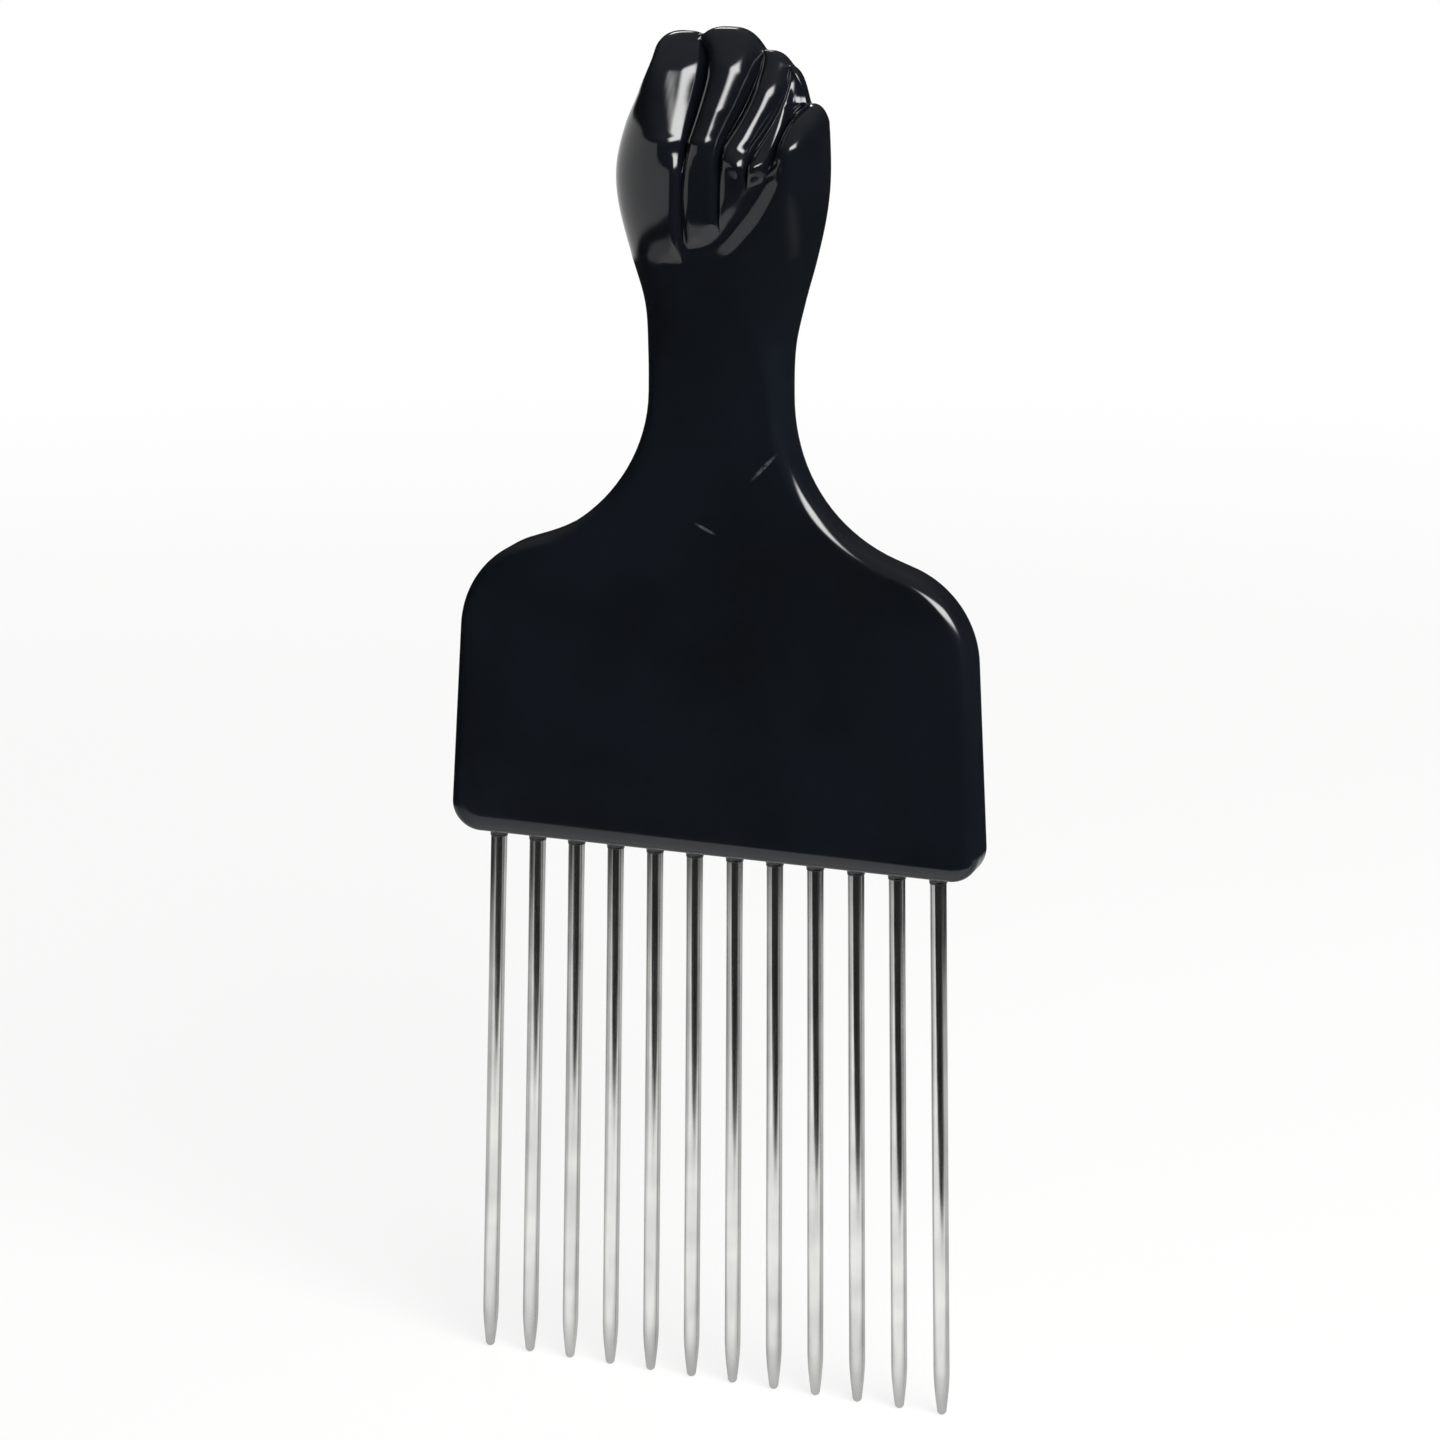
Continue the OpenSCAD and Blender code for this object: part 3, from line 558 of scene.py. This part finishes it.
    def build(self, collars: list[tuple[np.ndarray, list[np.ndarray]]]) -> Object:
        """Makes the handle: a grid for each face, the grooved wall between their edges, and the collars.

        Args:
            collars: Points in millimetres and faces of each collar.

        Returns:
            The handle's object.
        """
        grid = self.rows()
        m, n = grid.shape[:2]
        x, z, top = grid[..., 0], grid[..., 1], grid[..., 2]
        points = []
        for side in Side:
            y = self.relief.skin_y(x, z, top, side)
            points.append(np.stack([x, y, z + self.pin_len], -1).reshape(-1, 3))
        index = np.arange(m * n).reshape(m, n)
        a, b, c, d = index[:-1, :-1], index[:-1, 1:], index[1:, 1:], index[1:, :-1]
        faces = [np.stack([a, b, c, d], -1).reshape(-1, 4), np.stack([a, d, c, b], -1).reshape(-1, 4) + m * n]
        ring = np.concatenate([index[0, :-1], index[:-1, -1], index[-1, :0:-1], index[:0:-1, 0]])
        wall = self.rim(points[0][ring][:, [0, 2]] - (0, self.pin_len))
        wall_rows = 2 * m * n + np.arange(len(wall) * len(ring)).reshape(len(wall), len(ring))
        rows = [ring, *wall_rows, ring + m * n]
        for low, high in zip(rows[:-1], rows[1:]):
            faces.append(np.stack([low, high, np.roll(high, -1), np.roll(low, -1)], -1))
        points += wall
        for collar_points, collar_faces in collars:
            count = sum(len(p) for p in points)
            points.append(collar_points)
            faces += [f + count for f in collar_faces]
        return make_mesh("handle_moulding", np.concatenate(points) * MM, faces)


@dataclass
class Pins:
    """The row of drawn steel pins and the plastic collars round their roots, in millimetres."""

    outline: Outline
    count: int = 12
    margin: float = 5.5
    diameter: float = 1.95
    length: float = 68
    shank_len: float = 15
    tip_len: float = 6
    tip_d: float = 1.15
    spread: float = 1.6
    groove_depth: float = 0.2
    groove_w: float = 1.2
    groove_gap: float = 4
    groove_count: int = 2
    collar_h: float = 0.8
    collar_reach: float = 0.5
    collar_root_share: float = 0.16
    collar_power: float = 3
    collar_sunk: float = 0.3
    around: int = 48
    round_steps: int = 8
    taper_steps: int = 14
    sharp_angle: float = 40

    def name(self, number: int) -> str:
        """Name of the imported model's node for a pin, counted from 1 at the left."""
        return f"pin_{number:02d}"

    def profile(self) -> np.ndarray:
        """Half outline of a pin: round end, quarter-sine narrowing, wire, and shank with rolled grooves."""
        radius, end = self.diameter / 2, self.tip_d / 2
        turn = np.linspace(0, math.pi / 2, self.round_steps + 1)
        parts = [np.stack([end * np.sin(turn), -self.length + end * (1 - np.cos(turn))], -1)]
        t = np.linspace(0, 1, self.taper_steps + 1)[1:]
        narrowing = mix(end, radius, np.sin(math.pi / 2 * t))
        parts.append(np.stack([narrowing, mix(end, self.tip_len, t) - self.length], -1))
        deep = radius - self.groove_depth
        for k in range(self.groove_count):
            z = self.groove_gap + k * (self.groove_w + self.groove_gap)
            end_z = z + self.groove_w
            ramp = self.groove_depth
            parts.append([(radius, z), (deep, z + ramp), (deep, end_z - ramp), (radius, end_z)])
        parts.append([(radius, self.shank_len), (0, self.shank_len)])
        return np.concatenate(parts)

    def collar_profile(self, steps: int = 6) -> np.ndarray:
        """Closed half outline of a collar: a hollow curve from pin to blade, and a foot sunk in it."""
        inner, sunk = self.diameter / 2, self.collar_sunk
        t = np.linspace(0, 1, steps + 1)
        reach = self.collar_reach * mix(self.collar_root_share, 1, t**self.collar_power)
        curved = np.stack([inner + reach, -self.collar_h * (1 - t)], -1)
        foot = [(inner + self.collar_reach, sunk), (inner, sunk), (inner, -self.collar_h)]
        return np.concatenate([curved, foot])

    def placed(self, points: np.ndarray, number: int) -> np.ndarray:
        """Points of a pin or collar, turned to its lean about Y and moved to its root."""
        off = number - (self.count + 1) / 2
        pitch = (self.outline.blade_w - 2 * self.margin) / (self.count - 1)
        lean = -math.radians(self.spread * off * 2 / (self.count - 1))
        x, y, z = points.T
        c, s = math.cos(lean), math.sin(lean)
        return np.stack([x * c + z * s, y, z * c - x * s], -1) + (off * pitch, 0, self.length)

    def collars(self) -> list[tuple[np.ndarray, list[np.ndarray]]]:
        """Points in millimetres and faces of every collar."""
        points, faces = revolved(self.collar_profile(), self.around, closed=True)
        return [(self.placed(points, i), faces) for i in range(1, self.count + 1)]

    def build(self, number: int) -> Object:
        """Makes one pin, whole from its tip to the end of its shank."""
        points, faces = revolved(self.profile(), self.around, closed=False)
        pin = make_mesh(self.name(number) + "_steel", self.placed(points, number) * MM, faces)
        pin.data.set_sharp_from_angle(angle=math.radians(self.sharp_angle))
        return pin


def revolved(profile: np.ndarray, around: int, closed: bool) -> tuple[np.ndarray, list[np.ndarray]]:
    """Turns a half outline round the Z axis.

    Args:
        profile: Radius and height of each point, with the solid on its left as it is followed.
        around: Number of steps round the axis.
        closed: True joins the last point to the first, and False takes both as poles on the axis.

    Returns:
        The points, and the faces as one array of quads and, at poles, one of triangles.
    """
    turn = np.arange(around) * 2 * math.pi / around
    body = profile if closed else profile[1:-1]
    radius, height = body[:, :1], body[:, 1:]
    grid = np.stack([radius * np.cos(turn), radius * np.sin(turn), np.repeat(height, around, axis=1)], -1)
    points = grid.reshape(-1, 3)
    index = np.arange(len(points)).reshape(len(body), around)
    low, high = (index, np.roll(index, -1, axis=0)) if closed else (index[:-1], index[1:])
    quads = np.stack([low, np.roll(low, -1, axis=1), np.roll(high, -1, axis=1), high], -1).reshape(-1, 4)
    if closed:
        return points, [quads]
    poles = np.array([(0, 0, profile[0, 1]), (0, 0, profile[-1, 1])])
    first, last = len(points), len(points) + 1
    tip = np.stack([np.full(around, first), np.roll(index[0], -1), index[0]], -1)
    end = np.stack([np.full(around, last), index[-1], np.roll(index[-1], -1)], -1)
    return np.concatenate([points, poles]), [quads, np.concatenate([tip, end])]


def make_mesh(name: str, points: np.ndarray, faces: list[np.ndarray]) -> Object:
    """Puts points and faces into a smooth-shaded object at the origin.

    Args:
        name: Name of the piece.
        points: Vertices in metres, one row each.
        faces: Arrays of vertex numbers, each with one row for each face and as many columns as corners.

    Returns:
        The new object, linked to the scene.
    """
    corners = np.concatenate([f.ravel() for f in faces])
    sizes = np.concatenate([np.full(len(f), f.shape[1]) for f in faces])
    mesh = bpy.data.meshes.new(name)
    mesh.vertices.add(len(points))
    mesh.vertices.foreach_set("co", points.astype(np.float32).ravel())
    mesh.loops.add(len(corners))
    mesh.loops.foreach_set("vertex_index", corners.astype(np.int32))
    mesh.polygons.add(len(sizes))
    mesh.polygons.foreach_set("loop_start", (np.cumsum(sizes) - sizes).astype(np.int32))
    mesh.polygons.foreach_set("use_smooth", np.ones(len(sizes), bool))
    mesh.update(calc_edges=True)
    mesh.validate()
    obj = bpy.data.objects.new(name, mesh)
    bpy.context.scene.collection.objects.link(obj)
    return obj


def linear(hex_colour: str) -> tuple[float, float, float, float]:
    """sRGB hex colour as linear RGBA."""
    parts = [int(hex_colour[i : i + 2], 16) / 255 for i in (1, 3, 5)]
    return tuple(p / 12.92 if p <= 0.04045 else ((p + 0.055) / 1.055) ** 2.4 for p in parts) + (1.0,)


def feed(node: Node, inputs: dict) -> None:
    """Fills a node's inputs, by name or number, from values, sockets, or the first output of other nodes."""
    for key, value in inputs.items():
        if isinstance(value, Node):
            value = value.outputs[0]
        if isinstance(value, NodeSocket):
            node.id_data.links.new(value, node.inputs[key])
        else:
            node.inputs[key].default_value = value


def add_node(tree: NodeTree, kind: str, settings: dict | str | None = None,
             inputs: dict | None = None) -> Node:
    """Adds a node to a tree.

    Args:
        tree: The node tree of a material, lamp or world.
        kind: The node's type, without the ShaderNode that starts it.
        settings: The node's own properties, or its operation alone.
        inputs: What goes into its inputs, as feed takes it.

    Returns:
        The new node.
    """
    node = tree.nodes.new("ShaderNode" + kind)
    settings = {"operation": settings} if isinstance(settings, str) else settings
    for name, value in (settings or {}).items():
        setattr(node, name, value)
    feed(node, inputs or {})
    return node


def span(value: Source, ends: tuple = (0, 1), results: tuple = (0, 1)) -> dict:
    """Inputs that take a value from one pair of ends to a pair of results."""
    return dict(zip(("Value", "From Min", "From Max", "To Min", "To Max"), (value, *ends, *results)))


def spots(place: Source, size_mm: float, detail: float) -> dict:
    """Inputs of a noise whose spots have a size in millimetres."""
    return {"Vector": place, "Scale": 1 / (size_mm * MM), "Detail": detail}


def mottled(add: Adder, noise: dict, colours: tuple[str, str]) -> Node:
    """Colour that drifts between two sRGB hex colours with a noise."""
    tone = add("ValToRGB", inputs={"Fac": add("TexNoise", inputs=noise)})
    for stop, end, colour in zip(tone.color_ramp.elements, MOTTLE_ENDS, colours):
        stop.position, stop.color = end, linear(colour)
    return tone


def start_material(name: str) -> tuple[Material, Adder, NodeSocket]:
    """New material, what adds its nodes, and the object coordinates that its patterns follow."""
    material = bpy.data.materials.new(name)
    material.use_nodes = True
    add = partial(add_node, material.node_tree)
    return material, add, add("TexCoord").outputs["Object"]


@dataclass(frozen=True)
class PaleMark:
    """A short pale, rougher mark on the palm side: its middle and its size in millimetres, and its slope in
    degrees.
    """

    x: float
    z: float
    length: float
    width: float
    slope: float


@dataclass(frozen=True)
class GlossAbs:
    """Black ABS, injection moulded in a polished tool.

    It shows as a near-black with a faint blue cast under a clear, slightly soft gloss. The mould leaves a
    shallow orange peel, and use a haze of wipe marks. Two short marks below the neck are paler and rougher;
    a mark is full over the core share of its size.
    """

    dark: str = "#0A0D11"
    light: str = "#0E1218"
    pale_mark_colour: str = "#3C4045"
    ior: float = 1.5
    roughness: Pair = (0.09, 0.15)
    pale_mark_roughness: float = 0.4
    flow_mm: float = 14
    haze_mm: float = 5
    peel_mm: float = 1.8
    peel_height_mm: float = 0.003
    wipe_mm: Triple = (9, 9, 0.35)
    wipe_slope: float = 25
    wipe_height_mm: float = 0.0006
    mark_grain_mm: float = 0.5
    mark_grain_ends: Pair = (0.3, 0.5)
    pale_mark_core: float = 0.4
    pale_marks: tuple[PaleMark, ...] = (PaleMark(6.8, 115.6, 5.4, 0.6, 47), PaleMark(-0.4, 107.8, 3.4, 0.5, -24))

    def make(self) -> Material:
        """Builds the material's nodes."""
        material, add, place = start_material("gloss_moulded_abs")
        # Two pale marks: over their mask the colour lightens and the gloss roughens
        pale_mark = self.pale_mark_mask(add, place)
        tone = mottled(add, spots(place, self.flow_mm, 3), (self.dark, self.light))
        colour = add("MixRGB", inputs={"Fac": pale_mark, "Color1": tone, "Color2": linear(self.pale_mark_colour)})
        haze = add("TexNoise", inputs=spots(place, self.haze_mm, 4))
        gloss = add("MapRange", inputs=span(haze, NOISE_ENDS, self.roughness))
        mark_gloss = add("MapRange", inputs=span(pale_mark, results=(gloss, self.pale_mark_roughness)))
        peel = add("TexNoise", inputs=spots(place, self.peel_mm, 1))
        first = add("Bump", inputs={"Height": peel, "Distance": self.peel_height_mm * MM})
        stretch = add("Mapping", TEXTURE, {
            "Vector": place, "Rotation": (0, math.radians(self.wipe_slope), 0),
            "Scale": [s * MM for s in self.wipe_mm]})
        wipes = add("TexNoise", inputs={"Vector": stretch, "Scale": 1, "Detail": 2})
        second = add("Bump", inputs={
            "Height": wipes, "Distance": self.wipe_height_mm * MM, "Normal": first})
        feed(material.node_tree.nodes["Principled BSDF"], {
            "IOR": self.ior, "Base Color": colour, "Roughness": mark_gloss, "Normal": second})
        return material

    def pale_mark_mask(self, add: Adder, place: NodeSocket) -> Node:
        """Mask of the pale marks: a thin ellipse for each, broken up by fine noise, on the palm side alone.

        Args:
            add: What adds the material's nodes.
            place: Object coordinates.

        Returns:
            A node whose output is 0 on the clean surface and up to 1 in a pale mark.
        """
        total = 0.0
        for pale_mark in self.pale_marks:
            local = add("Mapping", TEXTURE, {
                "Vector": place, "Location": (pale_mark.x * MM, 0, pale_mark.z * MM),
                "Rotation": (0, -math.radians(pale_mark.slope), 0),
                "Scale": (pale_mark.length / 2 * MM, 1, pale_mark.width / 2 * MM)})
            flat = add("VectorMath", "MULTIPLY", {0: local, 1: (1, 0, 1)})
            reach = add("VectorMath", "LENGTH", {0: flat}).outputs["Value"]
            inside = add("MapRange", SMOOTH, span(reach, (self.pale_mark_core, 1), (1, 0)))
            total = add("Math", "MAXIMUM", {0: inside, 1: total})
        mark_grain = add("TexNoise", inputs=spots(place, self.mark_grain_mm, 3))
        broken = add("MapRange", inputs=span(mark_grain, self.mark_grain_ends))
        depth = add("SeparateXYZ", inputs={"Vector": place}).outputs["Y"]
        front = add("Math", "LESS_THAN", {0: depth, 1: 0.0})
        cut = add("Math", "MULTIPLY", {0: total, 1: broken})
        return add("Math", "MULTIPLY", {0: cut, 1: front})


@dataclass(frozen=True)
class DrawnSteel:
    """Nickel-plated steel wire, drawn, cut to length and polished, with ground tips.

    It shows as a bright neutral metal with fine marks along its length, a little duller where the tips were
    ground. The marks are really a few hundredths of a millimetre wide, and are drawn coarser so that they
    show.
    """

    dark: str = "#D3D4D2"
    light: str = "#E9E9E6"
    roughness: Pair = (0.1, 0.2)
    tip_roughness: float = 0.1
    mark_mm: Triple = (0.22, 0.22, 11)
    mark_height_mm: float = 0.0012
    stain_mm: float = 7
    tip_mm: Pair = (5, 9)

    def make(self) -> Material:
        """Builds the material's nodes."""
        material, add, place = start_material("polished_drawn_steel")
        stretch = add("Mapping", TEXTURE, {"Vector": place, "Scale": [s * MM for s in self.mark_mm]})
        marks = add("TexNoise", inputs={"Vector": stretch, "Scale": 1, "Detail": 3})
        tone = mottled(add, spots(place, self.stain_mm, 2), (self.dark, self.light))
        gloss = add("MapRange", inputs=span(marks, NOISE_ENDS, self.roughness))
        height = add("SeparateXYZ", inputs={"Vector": place}).outputs["Z"]
        tip_ends = tuple(z * MM for z in self.tip_mm)
        ground = add("MapRange", inputs=span(height, tip_ends, (self.tip_roughness, 0)))
        rough = add("Math", "ADD", {0: gloss, 1: ground})
        bump = add("Bump", inputs={"Height": marks, "Distance": self.mark_height_mm * MM})
        feed(material.node_tree.nodes["Principled BSDF"], {
            "Metallic": 1, "Base Color": tone, "Roughness": rough, "Normal": bump})
        return material


@dataclass(frozen=True)
class Softbox:
    """A rectangular studio lamp or card, in metres.

    Its level is the brightness in the middle of its face, where plain white is 1, and fades towards the edges
    over the fade, a share of half its size. A reflector shows in gloss alone and lights no matt surface.
    """

    name: str
    azimuth: float
    elevation: float
    distance: float
    width: float
    height: float
    level: float
    aim: Triple = (0, 0, 0.11)
    fade: float = 0.6
    reflector: bool = False

    def add(self) -> None:
        """Hangs the lamp at its bearing from its aim, facing it."""
        data = bpy.data.lights.new(self.name, "AREA")
        data.shape = "RECTANGLE"
        data.size, data.size_y = self.width, self.height
        data.energy = self.level * math.pi * self.width * self.height
        data.use_nodes = True
        self.fade_edges(data.node_tree)
        lamp = bpy.data.objects.new(self.name, data)
        back = bearing(self.azimuth, self.elevation)
        lamp.location = Vector(self.aim) + back * self.distance
        lamp.rotation_mode = "QUATERNION"
        lamp.rotation_quaternion = back.to_track_quat("Z", "Y")
        lamp.visible_camera = False
        lamp.visible_diffuse = not self.reflector
        bpy.context.scene.collection.objects.link(lamp)

    def fade_edges(self, tree: NodeTree) -> None:
        """Fades the face by smooth steps, from full strength in the middle to nothing at the edges."""
        add = partial(add_node, tree)
        across = add("NewGeometry").outputs["Parametric"]
        split = add("SeparateXYZ", inputs={"Vector": across})
        strength = 1.0
        for way in ("X", "Y"):
            off = add("Math", "SUBTRACT", {0: split.outputs[way], 1: 0.5})
            out = add("Math", "ABSOLUTE", {0: off})
            kept = add("MapRange", SMOOTH, span(out, ((1 - self.fade) / 2, 0.5), (1, 0)))
            strength = add("Math", "MULTIPLY", {0: kept, 1: strength})
        feed(tree.nodes["Emission"], {"Strength": strength})


def bearing(azimuth: float, elevation: float) -> Vector:
    """Unit vector towards a viewpoint: azimuth 0 is the palm side, and angles are in degrees."""
    a, e = math.radians(azimuth), math.radians(elevation)
    return Vector((math.sin(a) * math.cos(e), -math.cos(a) * math.cos(e), math.sin(e)))


@dataclass(frozen=True)
class Studio:
    """White floor and backdrop, the room's dim light, and the softboxes, in metres.

    In gloss the floor glows as a painted pool of light in a dim room. The pool ends at its reach and, ahead of
    the pins, at its front edge. It is white ahead of the plane of the pins, and has the side level elsewhere.
    """

    floor_size: float = 8
    floor_drop: float = 0.00005
    paper: str = "#F4F4F2"
    shadow_share: float = 0.2
    shadow_reach: Pair = (0.25, 0.7)
    # Edge, depth, softness and reach of the painted pool of light that the floor shows in reflections
    lit_pool_front: Pair = (0.591, -0.806)
    lit_pool_depth: float = 0.0804
    lit_pool_soft: float = 0.008
    pin_plane: Pair = (0.002, -0.018)
    lit_pool_reach: Pair = (0.17, 0.23)
    ahead: Pair = (0.3256, -0.9455)
    ahead_from: float = 0.1
    ahead_cosines: Pair = (0.72, 0.93)
    side_level: float = 0.55
    room_level: float = 0.02
    ceiling_level: float = 0.25
    ceiling_ends: Pair = (0.1, 1)
    fill_level: float = 0.2
    softboxes: tuple[Softbox, ...] = (
        Softbox("key_softbox", 52, 33, 1.1, 1.35, 0.6, 16),
        Softbox("left_card", -90, 0, 0.036, 0.14, 0.031, 0.85, aim=(0, 0, 0.1425), fade=0.1, reflector=True),
        Softbox("back_softbox", 205, 40, 1.2, 0.5, 0.3, 8),
    )

    def build(self) -> None:
        """Lays the floor, sets the world and hangs the softboxes."""
        half = self.floor_size / 2
        corners = np.array([(-half, -half), (half, -half), (half, half), (-half, half)])
        points = np.column_stack([corners, np.full(4, -self.floor_drop)])
        floor = make_mesh("studio_floor", points, [np.arange(4).reshape(1, 4)])
        floor.data.materials.append(self.floor_material())
        bpy.context.scene.world = self.world()
        for softbox in self.softboxes:
            softbox.add()
        log.info("studio: floor and %d softboxes", len(self.softboxes))

    def floor_material(self) -> Material:
        """Matt white paper that keeps a soft shadow for the camera; in gloss, a painted pool of light with an
        edge.
        """
        material, add, place = start_material("matt_white_paper_painted_pool")
        nodes = material.node_tree.nodes
        nodes.remove(nodes["Principled BSDF"])
        ray = add("LightPath").outputs
        away = add("VectorMath", "LENGTH", {0: place}).outputs["Value"]
        # Painted pool of light, seen in reflections alone: white ahead of the pins, the side level round them,
        # the room's dim level beyond
        depth = add("VectorMath", "DOT_PRODUCT", {0: place, 1: (*self.lit_pool_front, 0)})
        edge = (self.lit_pool_depth - self.lit_pool_soft, self.lit_pool_depth + self.lit_pool_soft)
        beyond = add("MapRange", SMOOTH, span(depth.outputs["Value"], edge))
        start = [a * self.ahead_from for a in self.ahead] + [0]
        moved = add("VectorMath", "ADD", {0: place, 1: start})
        way = add("VectorMath", "NORMALIZE", {0: moved})
        cosine = add("VectorMath", "DOT_PRODUCT", {0: way, 1: (*self.ahead, 0)})
        front = add("MapRange", SMOOTH, span(cosine.outputs["Value"], self.ahead_cosines))
        levels = (self.side_level, self.room_level)
        side = add("MapRange", SMOOTH, span(away, self.lit_pool_reach, levels))
        across = add("SeparateXYZ", inputs={"Vector": place}).outputs["Y"]
        near = add("MapRange", SMOOTH, span(across, self.pin_plane, (self.side_level, 1)))
        ahead = add("MapRange", inputs=span(beyond, results=(near, self.room_level)))
        mirrored = add("MapRange", inputs=span(front, results=(side, ahead)))
        direct = self.seen_direct(add, ray)
        level = add("MapRange", inputs=span(direct, results=(mirrored, 1)))
        plain = add("MapRange", SMOOTH, span(away, self.shadow_reach, (1 - self.shadow_share, 1)))
        seen = add("Math", "MULTIPLY", {0: direct, 1: plain})
        share = add("Math", "MAXIMUM", {0: seen, 1: ray["Is Glossy Ray"]})
        matt = add("BsdfDiffuse", inputs={"Color": linear(self.paper)})
        glow = add("Emission", inputs={"Strength": level})
        both = add("MixShader", inputs={0: share, 1: matt, 2: glow})
        feed(nodes["Material Output"], {"Surface": both})
        return material

    def seen_direct(self, add: Adder, ray: NodeOutputs) -> Node:
        """Mask that is 1 to the camera, also through something clear, and 0 in reflections."""
        rays = {0: ray["Is Camera Ray"], 1: ray["Is Transmission Ray"]}
        return add("Math", "MAXIMUM", rays)

    def world(self) -> World:
        """White to the camera, a dim room with a paler ceiling in gloss, and a fill for matt surfaces."""
        world = bpy.data.worlds.new("studio")
        world.use_nodes = True
        add = partial(add_node, world.node_tree)
        ray = add("LightPath").outputs
        way = add("TexCoord").outputs["Generated"]
        up = add("SeparateXYZ", inputs={"Vector": way}).outputs["Z"]
        levels = (self.room_level, self.ceiling_level)
        room = add("MapRange", SMOOTH, span(up, self.ceiling_ends, levels))
        lit = add("MapRange", inputs=span(ray["Is Glossy Ray"], results=(self.fill_level, room)))
        level = add("MapRange", inputs=span(self.seen_direct(add, ray), results=(lit, 1)))
        feed(world.node_tree.nodes["Background"], {"Color": (1, 1, 1, 1), "Strength": level})
        return world


@dataclass(frozen=True)
class PhotoCamera:
    """The photograph's viewpoint: bearing and roll in degrees, aim and distance in millimetres."""

    azimuth: float = 19.0
    elevation: float = 15.66
    roll: float = 0.34
    distance: float = 473.75
    aim: Triple = (-0.88, 4.15, 83.02)
    lens: float = 100
    sensor: float = 36

    def build(self) -> None:
        """Adds the camera and makes it the scene's own."""
        data = bpy.data.cameras.new("camera")
        data.lens, data.sensor_width = self.lens, self.sensor
        camera = bpy.data.objects.new("camera", data)
        back = bearing(self.azimuth, self.elevation)
        camera.location = (Vector(self.aim) + back * self.distance) * MM
        camera.rotation_mode = "QUATERNION"
        turn = Quaternion((0, 0, 1), math.radians(self.roll))
        camera.rotation_quaternion = (-back).to_track_quat("-Z", "Y") @ turn
        bpy.context.scene.collection.objects.link(camera)
        bpy.context.scene.camera = camera


def dress(piece: Object, material: Material, slot: Slot, node: str) -> None:
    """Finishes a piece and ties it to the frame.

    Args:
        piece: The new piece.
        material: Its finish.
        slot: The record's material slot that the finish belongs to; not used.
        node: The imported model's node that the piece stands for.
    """
    piece.data.materials.append(material)
    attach(piece, BODY)
    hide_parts(node)
    log.info("%s: %d faces, %s", piece.name, len(piece.data.polygons), material.name)


def main() -> None:
    """Builds the handle and the pins, then the studio and the camera."""
    logging.basicConfig(level=logging.INFO, format="%(name)s: %(message)s")
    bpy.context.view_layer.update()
    outline = Outline()
    creases = Creases(outline)
    pins = Pins(outline)
    plastic, steel = GlossAbs().make(), DrawnSteel().make()
    handle = Handle(outline, creases, HandRelief(outline, creases))
    dress(handle.build(pins.collars()), plastic, Slot.PLASTIC, "handle")
    for number in range(1, pins.count + 1):
        dress(pins.build(number), steel, Slot.STEEL, pins.name(number))
    Studio().build()
    PhotoCamera().build()
    bpy.context.scene.view_settings.view_transform = "Standard"


if __name__ == "__main__":
    main()
